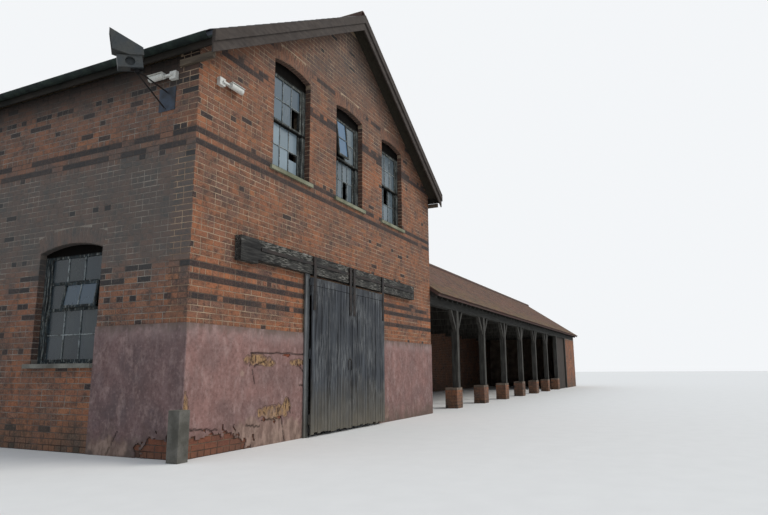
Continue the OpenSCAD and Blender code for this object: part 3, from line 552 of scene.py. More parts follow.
mortar = mortar_finish("lime mortar", (172, 150, 126), (122, 102, 86), BLUE_COURSES)
grey_mortar = mortar_finish("sooty lime mortar, painted eaves shadow", (142, 134, 124), (98, 90, 84), (49, 51), wall_head)
gable_brick = brick_finish("red brick, gable", [
    (0.0, 0.16), (0.3, 0.12), (0.5, 0.26), (0.62, 0.24), (0.75, 0.46), (0.95, 0.8)])
side_brick = brick_finish("sooty brick, side, painted eaves shadow", [
    (0.0, 0.15), (0.26, 0.3), (0.315, 0.8), (0.475, 0.82), (0.53, 0.38), (0.6, 0.48), (0.64, 0.65)],
    (85, 86, 84), wall_head)
foot_brick = brick_finish("painted foot brick", [(0.0, 0.6), (1.0, 0.6)], (112, 52, 42))
brick = model_brick()
front_face = Vector((WALL_L, WALL_F, 0)), X, -Y
side_face = Vector((WALL_L, wall_back, 0)), -Y, -X
back_face = Vector((wall_right, wall_back, 0)), -X, Y
right_face = Vector((wall_right, WALL_F, 0)), Y, X
top_course = math.floor((roof_top[1].z - 0.2) / COURSE)
wall_courses = math.floor(wall_head / COURSE)
foot_course = 4
FOOT_RUN, CORNER_RUN = 0.84, 0.30
SIDE_BLUE = {**BLUE_COURSES, 24: 0.55, 27: 0.6, 29: 0.7, 49: 0.85, 51: 0.8, 58: 0.35, 60: 0.6, 19: 0.4}

gable_gaps = [arched_gap(middle, GABLE_HALF, gable_sill, GABLE_SPRING, GABLE_RISE, GABLE_RING)
              for middle in GABLE_MIDDLES]
side_gaps = [arched_gap(SIDE_L - middle, SIDE_HALF, side_sill, SIDE_SPRING, SIDE_RISE, SIDE_RING)
             for middle in SIDE_MIDDLES]
front_gaps = gable_gaps + [
    square_gap(doorway_left - JAMB_W, doorway_right, -1, doorway_top + 0.1 + COURSE),
    square_gap(-1, doorway_left, -1, render_top),
    square_gap(doorway_right, FRONT_W + 1, -1, render_top)]
front_lay = [lay_wall(*front_face, gable_ends, (0, top_course), front_gaps, BLUE_COURSES, 11)]
back_lay = [lay_wall(*back_face, gable_ends, (0, top_course), gable_gaps, BLUE_COURSES, 12)]
for i, middle in enumerate(GABLE_MIDDLES):
    for lays, face in ((front_lay, front_face), (back_lay, back_face)):
        lays.append(lay_arch(*face, middle, GABLE_HALF, GABLE_SPRING, GABLE_RISE, GABLE_RING, 20 + i))
        lays.append(lay_reveal(*face, middle, GABLE_HALF, gable_sill, GABLE_SPRING, REVEAL, 30 + i))
front_lay.append(lay_reveal(*front_face, (doorway_left + doorway_right) / 2,
                            (doorway_right - doorway_left) / 2, 0, doorway_top, WALL_T - 0.01, 41))
settle(copies("gable_brickwork", brick, *gather(*front_lay)), "building", gable_brick)
foot_lay = gather(
    lay_wall(*front_face, lambda under: (-CORNER, doorway_left - JAMB_W - 0.01),
             (0, math.floor(render_top / COURSE) - 1), seed=15),
    lay_wall(*side_face, lambda under: (SIDE_L - FOOT_RUN, SIDE_L + CORNER), (0, foot_course), seed=16))
settle(copies("foot_brickwork", brick, *foot_lay), "building", foot_brick)
settle(copies("back_gable_brickwork", brick, *gather(*back_lay)), "building", gable_brick)

side_lay = [lay_wall(
    *side_face, lambda under: (-CORNER, SIDE_L + CORNER), (0, wall_courses),
    side_gaps + [square_gap(SIDE_L - render_side_end + 0.02, SIDE_L + 1, -1, render_top)], SIDE_BLUE, 13)]
for i, middle in enumerate(SIDE_MIDDLES):
    middle = SIDE_L - middle
    side_lay.append(lay_arch(*side_face, middle, SIDE_HALF, SIDE_SPRING, SIDE_RISE, SIDE_RING, 50 + i))
    side_lay.append(lay_reveal(*side_face, middle, SIDE_HALF, side_sill, SIDE_SPRING, REVEAL, 60 + i))
corner_top = math.floor((soffit_low.z + ROOF_SLOPE * (WALL_L - soffit_low.x)) / COURSE)
side_lay.append(lay_wall(*side_face, lambda under: (SIDE_L - CORNER_RUN, SIDE_L + CORNER),
                         (wall_courses, corner_top), seed=17))
settle(copies("side_brickwork", brick, *gather(*side_lay)), "building", side_brick)
right_lay = lay_wall(*right_face, lambda under: (-CORNER, SIDE_L + CORNER), (0, wall_courses),
                     (), BLUE_COURSES, 14)
settle(copies("right_wall_brickwork", brick, *right_lay), "building", side_brick)
dress(mortar, "front_wall_left", "front_wall_right", "front_wall_gable", "back_wall")
dress(grey_mortar, "side_wall_left", "side_wall_right")

# The brick parts of the range: its back wall, the walls of the closed end bay and the brick bases
# under the posts. They are later and redder than the main building, in the same bond.
range_brick = brick_finish("red brick, range", [(0.0, 0.3), (0.1, 0.15), (0.3, 0.1), (0.5, 0.3)])
# The range's inner face is darkened towards (54, 50, 47): partly dust, partly painted shade of the dim
# interior.
inner_brick = brick_finish("dusty brick with painted shade, range", [(0.0, 0.55), (1.0, 0.62)], (54, 50, 47))
range_mortar = mortar_finish("range mortar", (134, 118, 104), (98, 86, 76))
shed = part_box("range_back_wall")
end_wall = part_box("range_end_wall")
end_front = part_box("range_end_front_wall")
shed_courses = math.floor(shed[1].z / COURSE)
shed_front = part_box("range_roof_front")
RANGE_COVER = 0.0724
range_slope = (shed_front[1].z - shed_front[0].z - RANGE_COVER) / (shed_front[1].y - shed_front[0].y)


def end_gable_ends(under):
    """Ends of a course of the range's end wall, under its two slopes."""
    half = (end_wall[1].y - end_wall[0].y) / 2
    reach = half + CORNER
    if under > shed[1].z - 0.12:
        reach = min(reach, (end_wall[1].z - under - 0.05) / range_slope)
    return half - reach, half + reach


shed_run = shed[1].x - shed[0].x
shed_lay = lay_wall(Vector((end_wall[1].x, shed[1].y, 0)), -X, Y,
                    lambda under: (-CORNER, end_wall[1].x - shed[0].x), (0, shed_courses), seed=71)
settle(copies("range_back_brickwork", brick, *shed_lay), "building", range_brick)
shed_lay = lay_wall(Vector((shed[0].x, shed[0].y, 0)), X, -Y,
                    lambda under: (0, shed_run), (0, shed_courses), seed=72)
settle(copies("range_inner_brickwork", brick, *shed_lay), "building", inner_brick)
end_courses = math.floor((end_wall[1].z - 0.15) / COURSE)
bay_courses = math.floor(end_front[1].z / COURSE)
end_lay = gather(
    lay_wall(Vector((end_wall[1].x, end_wall[0].y, 0)), Y, X, end_gable_ends, (0, end_courses), seed=73),
    lay_wall(Vector((end_front[0].x, end_front[0].y, 0)), X, -Y,
             lambda under: (-CORNER, end_wall[1].x - end_front[0].x), (0, bay_courses), seed=74),
    lay_wall(Vector((end_front[0].x, end_front[1].y, 0)), -Y, -X,
             lambda under: (-CORNER, end_front[1].y - end_front[0].y + CORNER), (0, bay_courses), seed=75))
settle(copies("range_end_brickwork", brick, *end_lay), "building", range_brick)


def loose_boxes(name):
    """The points of each separate solid of a CAD node, ordered by lowest corner from left to right."""
    mesh = nodes[name].data
    points = np.array([v.co for v in mesh.vertices])
    spots, same = np.unique(points.round(4), axis=0, return_inverse=True)
    same = same.reshape(-1)
    leader = list(range(len(spots)))

    def root(i):
        while leader[i] != i:
            leader[i] = leader[leader[i]]
            i = leader[i]
        return i

    for face in mesh.polygons:
        corners = [root(int(same[v])) for v in face.vertices]
        for corner in corners[1:]:
            leader[root(corner)] = root(corners[0])
    groups = {}
    for i in range(len(spots)):
        groups.setdefault(root(i), []).append(spots[i])
    solids = [np.array(group) for group in groups.values()]
    return sorted(solids, key=lambda solid: tuple(solid.min(0).round(3)))


base_lay = []
for i, solid in enumerate(loose_boxes("range_post_bases")):
    low, high = Vector(solid.min(0)), Vector(solid.max(0))
    width, depth = high.x - low.x, high.y - low.y
    courses = (0, math.floor(high.z / COURSE))
    for origin, along, front, length in (
            (low, X, -Y, width), (Vector((high.x, low.y, 0)), Y, X, depth),
            (high, -X, Y, width), (Vector((low.x, high.y, 0)), -Y, -X, depth)):
        base_lay.append(lay_wall(Vector((origin.x, origin.y, 0)), along, front,
                                 lambda under, end=length: (-CORNER, end + CORNER), courses, seed=80 + i))
settle(copies("post_base_brickwork", brick, *gather(*base_lay)), "building", range_brick)
dress(range_mortar, "range_back_wall", "range_end_wall", "range_end_front_wall", "range_post_bases")
bpy.data.objects.remove(brick)

# Cement render round the foot of the corner, painted a dull pink. It has cracked, lost pieces at
# the foot where the bricks show, and weathered to ochre where its face has come off.
RENDER_STEP = 0.0165
BEHIND_COAT = 0.008
LOST = [(0.62, 0.0, 0.66, 0.27), (0.14, 0.04, 0.24, 0.22),
        (2.13, 1.265, 0.11, 0.022), (1.61, 0.36, 0.035, 0.028), (1.97, 0.355, 0.05, 0.022),
        (1.85, 0.315, 0.03, 0.025), (2.50, 1.12, 0.03, 0.02)]
OCHRE = [(1.42, 1.19, 0.26, 0.07), (1.68, 1.14, 0.20, 0.04), (1.85, 0.44, 0.34, 0.10),
         (2.15, 0.52, 0.12, 0.10), (2.42, 1.16, 0.16, 0.05), (0.03, 0.62, 0.05, 0.16)]
FADED = [(1.75, 0.17, 0.50, 0.26), (1.30, 0.20, 0.30, 0.20), (2.3, 0.12, 0.32, 0.20),
         (1.08, 1.01, 0.05, 0.05)]
CRACKS = [((1.26, 1.285), (2.64, 1.285)), ((2.02, 0.36), (2.11, 0.02)), ((2.44, 1.12), (2.60, 1.02)),
          ((2.50, 0.81), (2.60, 0.80)), ((1.30, 1.28), (1.24, 1.10)), ((1.34, 1.10), (1.62, 1.18)),
          ((1.30, 1.06), (1.36, 0.86)), ((1.55, 0.34), (1.98, 0.36)), ((2.20, 0.62), (2.26, 0.40)),
          ((0.10, 0.34), (0.62, 0.30)), ((1.20, 0.30), (1.50, 0.27))]


def render_finish(name, paint, shade):
    """Old paint on cement: mottled, streaked by the wet, grey along its top edge and at its foot."""
    made, tree, shader = new_finish(name, 0.9)
    marks = piece_tone(tree)
    grain = grain_at(tree, 24.0, 2.4)
    stains = grain_at(tree, 9.0, 6.5, (1.0, 1.0, 0.45))
    coat = mixed(tree, paint, shade, grain["Patches"])
    coat = stained(tree, coat, (168, 144, 138), rising(tree, stains["Fine"], 0.5, 0.66), 0.45)
    coat = stained(tree, coat, (92, 68, 64), stains["Patches"], 0.34)
    coat = stained(tree, coat, (74, 56, 52), rising(tree, grain["Fine"], 0.5, 0.34), 0.4)
    coat = stained(tree, coat, (176, 152, 146), rising(tree, grain["Fine"], 0.56, 0.72), 0.3)
    height = object_height(tree)
    wavy = maths(tree, "SUBTRACT", height, maths(tree, "MULTIPLY", stains["Fine"], 0.35))
    smear = between(tree, wavy, render_top - 0.42, render_top - 0.26, 0.5)
    coat = mixed(tree, coat, (164, 144, 140), maths(tree, "MULTIPLY", smear, stains["Patches"]))
    edge = between(tree, wavy, render_top - 0.30, render_top - 0.16, 0.8)
    coat = mixed(tree, coat, (96, 84, 76), edge)
    coat = stained(tree, coat, (84, 76, 66), damp_below(tree, 0.35), 0.65)
    rim = levels(tree, marks["Red"], [(0.02, 0.0), (0.16, 0.75), (0.4, 0.0)])
    crumbs = grain_at(tree, 34.0, 12.0, (1.0, 1.0, 0.5))
    broken = mixed(tree, (164, 132, 92), (132, 104, 78), crumbs["Patches"])
    broken = mixed(tree, broken, (58, 42, 34), levels(tree, crumbs["Fine"], [(0.42, 0.9), (0.52, 0.0)]))
    coat = mixed(tree, coat, broken, marks["Red"])
    coat = mixed(tree, coat, (62, 50, 44), rim)
    worn = mixed(tree, (158, 134, 120), (112, 92, 82), rising(tree, stains["Fine"], 0.58, 0.4))
    coat = mixed(tree, coat, worn, maths(tree, "MULTIPLY", marks["Green"], 0.8))
    coat = mixed(tree, coat, (32, 25, 22), marks["Blue"])
    return finished(made, tree, shader, coat, grain["Height"], 0.008)


def inside_marks(marks, across, high, spread):
    """How far a point lies inside any of the ragged marks, from 0 outside to 1."""
    ragged = noise.noise(Vector((across * 9, high * 9, spread))) * 0.55
    ragged += noise.noise(Vector((across * 27, high * 27, spread))) * 0.15
    most = 0.0
    for middle, level, wide, tall in marks:
        away = math.hypot((across - middle) / wide, (high - level) / tall) + ragged
        most = max(most, min(1.0, max(0.0, (1.15 - away) / 0.3)))
    return most


def along_crack(cracks, across, high):
    """How close a point lies to a crack, from 0 to 1."""
    near = 0.0
    for (a, low), (b, over) in cracks:
        run = Vector((b - a, over - low))
        share = min(1.0, max(0.0, (Vector((across - a, high - low))).dot(run) / run.length_squared))
        wave = 0.02 * noise.noise(Vector((share * 7 + a, low, 4.0)))
        spot = Vector((a + run.x * share, low + run.y * share + wave))
        near = max(near, 1.3 - (Vector((across, high)) - spot).length / 0.013)
    return min(1.0, near)


def render_coat(node_name, along, lost, ochre, faded, cracks):
    """A coat of render in its node's place, with an uneven face and its broken patches cut out."""
    low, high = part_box(node_name)
    width = (high - low).dot(along)
    thick = min(high.x - low.x, high.y - low.y)
    inward = Y if along.x else X
    bpy.ops.mesh.primitive_grid_add(x_subdivisions=round(width / RENDER_STEP),
                                    y_subdivisions=round(high.z / RENDER_STEP), size=1)
    coat = bpy.context.object
    coat.name = node_name.replace("render", "render_coat")
    for point in coat.data.vertices:
        across, level = (point.co.x + 0.5) * width, (point.co.y + 0.5) * high.z
        rough = 0.0015 + 0.002 * (1 + noise.noise(Vector((across * 3, level * 3, 1.0))))
        rough += 0.0015 * (1 + noise.noise(Vector((across * 17, level * 17, 6.0))))
        rough += 0.006 * inside_marks(ochre, across, level, 2.0) + 0.010 * along_crack(cracks, across, level)
        point.co = Vector((low.x, low.y, level)) + along * across + inward * rough
    choose(coat, "FACE", lambda face: inside_marks(
        lost, (face.center - low).dot(along), face.center.z, 3.0) > 0.5)
    bpy.ops.mesh.delete(type="FACE")
    bpy.ops.object.mode_set(mode="OBJECT")
    thicken(coat, thick - BEHIND_COAT, 1.0 if coat.data.polygons[0].normal.dot(inward) > 0 else -1.0)
    bpy.ops.object.mode_set(mode="EDIT")
    bpy.ops.mesh.select_all(action="SELECT")
    bpy.ops.mesh.normals_make_consistent(inside=False)
    bpy.ops.object.mode_set(mode="OBJECT")
    tones = []
    for point in coat.data.vertices:
        point.co.z = min(high.z, max(0.0, point.co.z))
        across, level = (point.co - low).dot(along), point.co.z
        tones += [0.9 * inside_marks(ochre, across, level, 2.0),
                  0.8 * inside_marks(faded, across, level, 5.0),
                  0.9 * along_crack(cracks, across, level), 1.0]
    coat.data.attributes.new("tone", "FLOAT_COLOR", "POINT").data.foreach_set("color", tones)
    return coat


front_render = render_finish("painted render", (138, 106, 100), (120, 96, 92))
# A darker copy of the painted render for the side wall.
side_render = render_finish("darker painted render, side", (120, 98, 96), (98, 84, 84))
for name, along, finish, lost, ochre, faded, cracks in (
        ("render_front_left", X, front_render, LOST, OCHRE, FADED, CRACKS),
        ("render_front_right", X, front_render, [], [], [(0.2, 0.2, 0.3, 0.15)], []),
        ("render_side", Y, side_render, [(0.30, 0.0, 0.42, 0.26)], [],
         [(1.2, 0.1, 0.35, 0.12)], [((0.05, 0.40), (0.30, 0.20)), ((1.05, 0.30), (1.22, 0.02))])):
    settle(render_coat(name, along, lost, ochre, faded, cracks), "building", finish, (name,))

# Slates of the main roof, hung in half-lapped courses with their tails standing a little proud of
# the course below. The few that have slipped or cracked are a touch out of line.
SLATE = Vector((0.252, 0.0065, 0.33))
SLATE_GAUGE = 0.214
SLATE_TILT = math.radians(1.3)
SLAB_JOINT, SLAB_ARRIS = 0.004, 0.004
EAVES_REACH, RIDGE_REACH = 0.03, 0.02


def model_slab(size, bevel):
    """A flat slab lying along X with its face towards -Y and its top edge up, its edges dressed."""
    made = cube(size)
    choose(made, "FACE", lambda face: face.normal.y < -0.9)
    bpy.ops.mesh.inset(thickness=bevel, depth=0)
    bpy.ops.transform.translate(value=(0, -bevel * 0.4, 0))
    bpy.ops.object.mode_set(mode="OBJECT")
    return made


def lay_covering(eaves, ridge, along, run, size, gauge, tilt, seed, slip=0.02):
    """Places, stretches and tones of the slabs of one slope, from the eaves up to the ridge."""
    chance = np.random.default_rng(seed)
    up = (ridge - eaves).normalized()
    out = up.cross(along) if up.cross(along).z > 0 else along.cross(up)
    rows = math.ceil((ridge - eaves).length / gauge)
    raised = (out * math.cos(tilt) + up * math.sin(tilt)).normalized()
    places, stretches, tones = [], [], []
    number = math.floor(run / (size.x + 0.003))
    step = run / number
    for row in range(rows):
        height = min(row * gauge + size.z / 2, (ridge - eaves).length - size.z / 2)
        for i in range(number + row % 2):
            left = max(0.0, (i - 0.5 * (row % 2)) * step)
            right = min(run, (i + 1 - 0.5 * (row % 2)) * step)
            spot = eaves + up * (height + chance.normal(0, 0.002)) + along * ((left + right) / 2)
            spot += out * (size.y * 1.5 + chance.uniform(0, 0.002))
            lean = chance.normal(0, 0.004) if chance.random() > slip else chance.normal(0, 0.03)
            if left < 0.001 or run - right < 0.001:
                lean = 0
            turned = (along + up * lean).normalized()
            places.append(place(spot, turned, (raised - turned * raised.dot(turned)).normalized()))
            stretches.append(right - left - SLAB_JOINT - size.x)
            tones.append((chance.random(), chance.random(), row / rows, 1))
    return places, stretches, tones


def slate_finish():
    made, tree, shader = new_finish("welsh slate", 0.62)
    tone = piece_tone(tree)
    grain = grain_at(tree, 38.0, 1.3)
    stone = levels(tree, tone["Red"], [(0.0, (72, 76, 84)), (0.5, (92, 94, 102)), (1.0, (110, 106, 110))])
    stone = stained(tree, stone, (120, 116, 104), rising(tree, grain["Fine"], 0.56, 0.7), 0.5)
    stone = mixed(tree, stone, (96, 104, 62), moss_at(tree, 0.5))
    return finished(made, tree, shader, stone, grain["Height"], 0.003)


def cover_roof(pieces, boards, along, slope, size, gauge, tilt, finish, seed, slip=0.02):
    """Covers the two nodes of a roof, from the eaves up to just below the ridge."""
    across = X if along.y else Y
    first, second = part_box(boards[0]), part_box(boards[1])
    run = (first[1] - first[0]).dot(along)
    peak = first[1] - along * run
    model = model_slab(size, SLAB_ARRIS)
    for i, (piece, edge) in enumerate(zip(pieces, (first[0], second[1]))):
        fall = across * (2 * i - 1) - Z * slope
        reach = abs((edge - peak).dot(across)) + EAVES_REACH
        laid = lay_covering(peak + fall * reach, peak + fall * RIDGE_REACH, along, run,
                            size, gauge, tilt, seed + i, slip)
        settle(copies(piece, model, *laid), "building", finish)
    bpy.data.objects.remove(model)
    dress(finish, *boards)
    return peak, run


cover_roof(("slates_left", "slates_right"), ("roof_left", "roof_right"), Y, ROOF_SLOPE,
           SLATE, SLATE_GAUGE, SLATE_TILT, slate_finish(), 91)

# Clay tiles of the range's roof, red-brown, nibbed over laths, with moss and lichen thick towards
# the eaves. They are smaller than the slates and each is a little crooked.
TILE = Vector((0.163, 0.012, 0.20))
TILE_GAUGE = 0.102
TILE_TILT = math.radians(3.2)


def tile_finish(name, moss_amount):
    made, tree, shader = new_finish(name, 0.9)
    tone = piece_tone(tree)
    grain = grain_at(tree, 44.0, 0.9)
    clay = levels(tree, tone["Red"], [
        (0.0, (82, 62, 58)), (0.35, (104, 76, 66)), (0.7, (120, 86, 72)), (1.0, (96, 78, 76))])
    clay = stained(tree, clay, (80, 70, 63), grain["Patches"], 0.4)
    clay = stained(tree, clay, (140, 130, 110), rising(tree, grain["Fine"], 0.58, 0.72), 0.4)
    low = levels(tree, tone["Blue"], [(0.0, 0.75), (0.35, 0.2), (1.0, 0.3)])
    moss = moss_at(tree, moss_amount)
    clay = mixed(tree, clay, (104, 100, 62), maths(tree, "MULTIPLY", moss, low))
    return finished(made, tree, shader, clay, grain["Height"], 0.004)


range_peak, range_run = cover_roof(
    ("tiles_front", "tiles_back"), ("range_roof_front", "range_roof_back"), X, range_slope,
    TILE, TILE_GAUGE, TILE_TILT, tile_finish("clay tile, range", 1.0), 93, 0.05)

# Ridge tiles: half-round clay, about half a metre long, butted end to end and bedded in mortar.
# They have settled unevenly, and moss grows on their crowns.
RIDGE_LONG, RIDGE_T = 0.46, 0.016


def ridge_row(name, node_name, along, finish, seed):
    """A row of half-round tiles over the node's own capping."""
    low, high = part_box(node_name)
    run = (high - low).dot(along)
    across = Y if along.x else X
    radius = (high - low).dot(across) / 2
    bpy.ops.mesh.primitive_cylinder_add(vertices=24, radius=radius, depth=RIDGE_LONG, end_fill_type="NOTHING",
                                        rotation=(0, math.radians(90), 0))
    model = bpy.context.object
    bpy.ops.object.transform_apply(rotation=True)
    bpy.ops.object.mode_set(mode="EDIT")
    bpy.ops.mesh.select_all(action="SELECT")
    bpy.ops.mesh.bisect(plane_co=(0, 0, -0.35 * radius), plane_no=(0, 0, -1), clear_outer=True)
    bpy.ops.object.mode_set(mode="OBJECT")
    thicken(model, RIDGE_T, -1)
    number = round(run / (RIDGE_LONG - 0.01))
    step = run / number
    chance = np.random.default_rng(seed)
    places, stretches, tones = [], [], []
    for i in range(number):
        spot = (low + high) / 2 + along * (step * (i + 0.5) - run / 2)
        spot.z = high.z - radius - chance.uniform(0.0, 0.006)
        places.append(place(spot, along, Z.cross(along) * -1))
        stretches.append(step - 0.008 - RIDGE_LONG)
        tones.append((chance.random(), chance.random(), 0.6, 1))
    made = copies(name, model, places, stretches, tones)
    bpy.data.objects.remove(model)
    return settle(made, "building", finish)


ridge_clay = tile_finish("ridge tile", 0.8)
ridge_row("main_ridge_row", "ridge_tiles", Y, ridge_clay, 95)
ridge_row("range_ridge_row", "range_ridge_tiles", X, ridge_clay, 96)
dress(ridge_clay, "ridge_tiles", "range_ridge_tiles")

# Verge and eaves joinery: two stepped bargeboards, a wide soffit under the verge and a board behind
# the gutter, in brown paint that has mostly gone, green where the wet runs. The board behind the
# gutter is near-black, partly its dark paint and partly painted shade.


def joinery_finish(name, paint, bare, stretch, moss_amount, kneelers=None):
    """Paint weathered to bare wood, mossy where it faces up. The kneelers are the short pieces
    below a given height, paler than the boards above them."""
    made, tree, shader = new_finish(name, 0.8)
    wood = wood_at(tree, stretch)
    grain = grain_at(tree, 22.0, 2.0)
    skin = mixed(tree, paint, bare, wood["Streaks"])
    skin = stained(tree, skin, (28, 25, 22), wood["Cracks"], 0.7)
    if kneelers:
        height = object_height(tree)
        lower = maths(tree, "LESS_THAN", height, kneelers)
        skin = mixed(tree, skin, mixed(tree, (62, 55, 48), (106, 94, 80), wood["Streaks"]), lower)
    skin = stained(tree, skin, (60, 52, 46), grain["Patches"], 0.4)
    skin = mixed(tree, skin, (92, 100, 60), moss_at(tree, moss_amount))
    return finished(made, tree, shader, skin, wood["Height"], 0.003)


verge_board = joinery_finish("brown verge boards", (50, 45, 43), (78, 71, 66), (6.0, 20.0, 20.0), 0.6)
soffit_board = joinery_finish("soffit boards", (40, 38, 33), (62, 58, 48), (2.0, 30.0, 30.0), 0.2)
# Partly painted shade: the board behind the gutter is mixed near-black for the shade under the gutter.
shaded_eaves_board = joinery_finish("eaves boards, painted shade", (20, 21, 20), (38, 38, 34), (30.0, 2.0, 30.0), 0.2,
                             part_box("eaves_boards")[0].z + 0.11)
dress(verge_board, "bargeboards")
dress(soffit_board, "verge_soffits")
dress(shaded_eaves_board, "eaves_boards")


# Gutters: half-round cast iron under both eaves of the main roof, their black paint stained
# grey-green by what the slates shed.


def iron_finish(name, paint, rust, rough, rust_amount):
    made, tree, shader = new_finish(name, rough)
    grain = grain_at(tree, 40.0, 7.0)
    skin = mixed(tree, paint, rust, maths(tree, "MULTIPLY", grain["Patches"], rust_amount))
    skin = stained(tree, skin, [c * 0.6 for c in paint], rising(tree, grain["Fine"], 0.5, 0.3), 0.5)
    skin = mixed(tree, skin, (84, 92, 58), moss_at(tree, 0.35))
    return finished(made, tree, shader, skin, grain["Height"], 0.0015)


gutter_iron = iron_finish("gutter iron", (24, 30, 30), (52, 66, 58), 0.75, 0.55)
dress(gutter_iron, "gutters")

# Windows: deal frames and sashes in grey paint that is flaking to bare wood, divided by thin
# glazing bars, with a pane of old glass in each square.
BAR_W, BAR_D, BAR_STOCK = 0.016, 0.030, 0.20
PANE_T = 0.004
PANE_WIDE, PANE_TALL = 0.26, 0.34
MEETING_RAIL, TRANSOM = 4.98, 2.2
UPRIGHT = 0.9999
GABLE_FROM = 5.6


def sash_finish(name, paint, shade, head, rail):
    """Paint flaking off the edges to bare wood. The head board under the arch is near-black, partly
    its dark paint and partly painted shade of the arch; the rail where the sashes meet is darkened
    as painted shade under the upper sash."""
    made, tree, shader = new_finish(name, 0.75, gloss=0.02)
    wood = wood_at(tree, (40.0, 40.0, 4.0))
    grain = grain_at(tree, 30.0, 7.0)
    skin = mixed(tree, paint, shade, grain["Patches"])
    skin = stained(tree, skin, (150, 152, 146), rising(tree, wood["Streaks"], 0.55, 0.8), 0.55)
    bare = rising(tree, grain["Fine"], 0.5, 0.58)
    skin = stained(tree, skin, (46, 42, 37), bare, 0.7)
    height = object_height(tree)
    # Painted shade: near-black on the head board under the arch and along the meeting rail.
    under_arch = between(tree, height, head - 0.004, head + 0.004)
    meeting = maths(tree, "COMPARE", height, rail, 0.026)
    dark = maths(tree, "MAXIMUM", under_arch, maths(tree, "MULTIPLY", meeting, 0.85))
    skin = mixed(tree, skin, mixed(tree, (6, 5, 5), (17, 15, 13), wood["Streaks"]), dark)
    return finished(made, tree, shader, skin, wood["Height"], 0.002)


def glass_finish():
    """Old glass under a film of dust, thicker on some panes than on others, and a painted sky reflection."""
    made, tree, shader = new_finish("dusty glass", 0.12, gloss=0.25)
    tone = piece_tone(tree)
    grain = grain_at(tree, 26.0, 3.0, (1.0, 1.0, 0.4))
    film = mixed(tree, (12, 26, 34), (160, 178, 188), tone["Red"])
    # Painted reflection: a pane's share of sky blues it towards the sky's colour.
    film = mixed(tree, film, (84, 122, 156), tone["Blue"])
    film = stained(tree, film, (104, 106, 98), grain["Patches"], 0.18)
    tree.links.new(film, shader.inputs["Base Color"])
    rough = maths(tree, "MULTIPLY_ADD", grain["Patches"], 0.25, 0.08)
    tree.links.new(rough, shader.inputs["Roughness"])
    shader.inputs["Transmission Weight"].default_value = 0.3
    relief(tree, shader, grain["Height"], 0.0015)
    return made


def model_bar():
    """A glazing bar, its two front edges moulded away and its back flat."""
    made = cube((BAR_STOCK, BAR_D, BAR_W))

    def at_front(edge):
        a, b = (made.data.vertices[v].co for v in edge.vertices)
        return a.y < 0 and b.y < 0 and abs(a.x - b.x) > BAR_STOCK / 2

    choose(made, "EDGE", at_front)
    bpy.ops.mesh.bevel(offset=0.005, segments=2, affect="EDGES")
    bpy.ops.object.mode_set(mode="OBJECT")
    return made


def model_pane():
    """A sheet of glass one metre square, its edges ground."""
    made = cube((1, PANE_T, 1))
    soften(0.0006)
    return made


def sheet_axes(solid):
    """Middle, width, height and facing of a thin sheet from its corners, and its two sizes."""
    middle = solid.mean(0)
    offsets = solid - middle
    axes = [Vector(axis) for axis in np.linalg.svd(offsets, full_matrices=False)[2]]
    sizes = [2 * max(abs(offsets @ np.array(axis))) for axis in axes]
    thin = int(np.argmin(sizes))
    rest = [i for i in range(3) if i != thin]
    tall = max(rest, key=lambda i: abs(axes[i].z))
    wide = [i for i in rest if i != tall][0]
    up = axes[tall] if axes[tall].z > 0 else -axes[tall]
    front = axes[thin]
    middle = Vector(middle)
    outward = Vector((0, middle.y, 0)) if abs(middle.y) > GABLE_FROM else Vector((-1, 0, 0))
    front = front if front.dot(outward) > 0 else -front
    return middle, up.cross(front), up, front, sizes[wide], sizes[tall]


def glaze(node_name, missing, broken, shine, columns_of, seed):
    """Bars and panes for every sheet of glass of a node. A sheet is named by its window's number
    from the left or front and its part; missing panes are left out and broken ones cut short."""
    chance = np.random.default_rng(seed)
    bars, bar_stretch, panes, pane_tones = [], [], [], []
    for solid in loose_boxes(node_name):
        middle, along, up, front, wide, tall = sheet_axes(solid)
        if node_name.startswith("gable"):
            window = round((middle.x - WALL_L - GABLE_MIDDLES[0]) / GABLE_STEP) + (0 if middle.y < 0 else 10)
            part = "upper" if middle.z > MEETING_RAIL else "lower"
        else:
            window = round((middle.y - WALL_F - SIDE_MIDDLES[0]) / SIDE_STEP)
            part = "rest" if wide < SIDE_HALF else "upper" if middle.z > TRANSOM else "lower"
        if up.z < UPRIGHT:
            part = "light"
        columns = columns_of.get((window, part), max(1, round(wide / PANE_WIDE)))
        rows = max(1, round(tall / PANE_TALL))
        step_x, step_z = wide / columns, tall / rows
        for i in range(1, columns):
            bars.append(place(middle + along * (step_x * i - wide / 2), up, front))
            bar_stretch.append(tall - BAR_STOCK)
        for j in range(1, rows):
            for i in range(columns):
                spot = middle + up * (step_z * j - tall / 2) + along * (step_x * (i + 0.5) - wide / 2)
                bars.append(place(spot, along, front))
                bar_stretch.append(step_x - BAR_W - BAR_STOCK)
        # A part's film of dust and its share of painted sky reflection.
        light, sky = shine.get((window, part), (0.3, 0.0))
        for i in range(columns):
            for j in range(rows):
                if (window, part, i, j) in missing:
                    continue
                whole = broken.get((window, part, i, j), 1.0)
                spot = middle + up * (step_z * (j + whole / 2) - tall / 2)
                spot += along * (step_x * (i + 0.5) - wide / 2)
                facing = (front + along * chance.normal(0, 0.004) + up * chance.normal(0, 0.004)).normalized()
                spread = (along - facing * along.dot(facing)).normalized()
                lines = np.array(place(spot, spread, facing))
                lines[:, 0] *= step_x - 0.001
                lines[:, 2] *= whole * step_z - 0.001
                panes.append(lines)
                film = light * chance.uniform(0.7, 1.3) + chance.uniform(0, 0.03)
                pane_tones.append((min(1, film), chance.random(), sky, 1))
    return bars, bar_stretch, panes, pane_tones


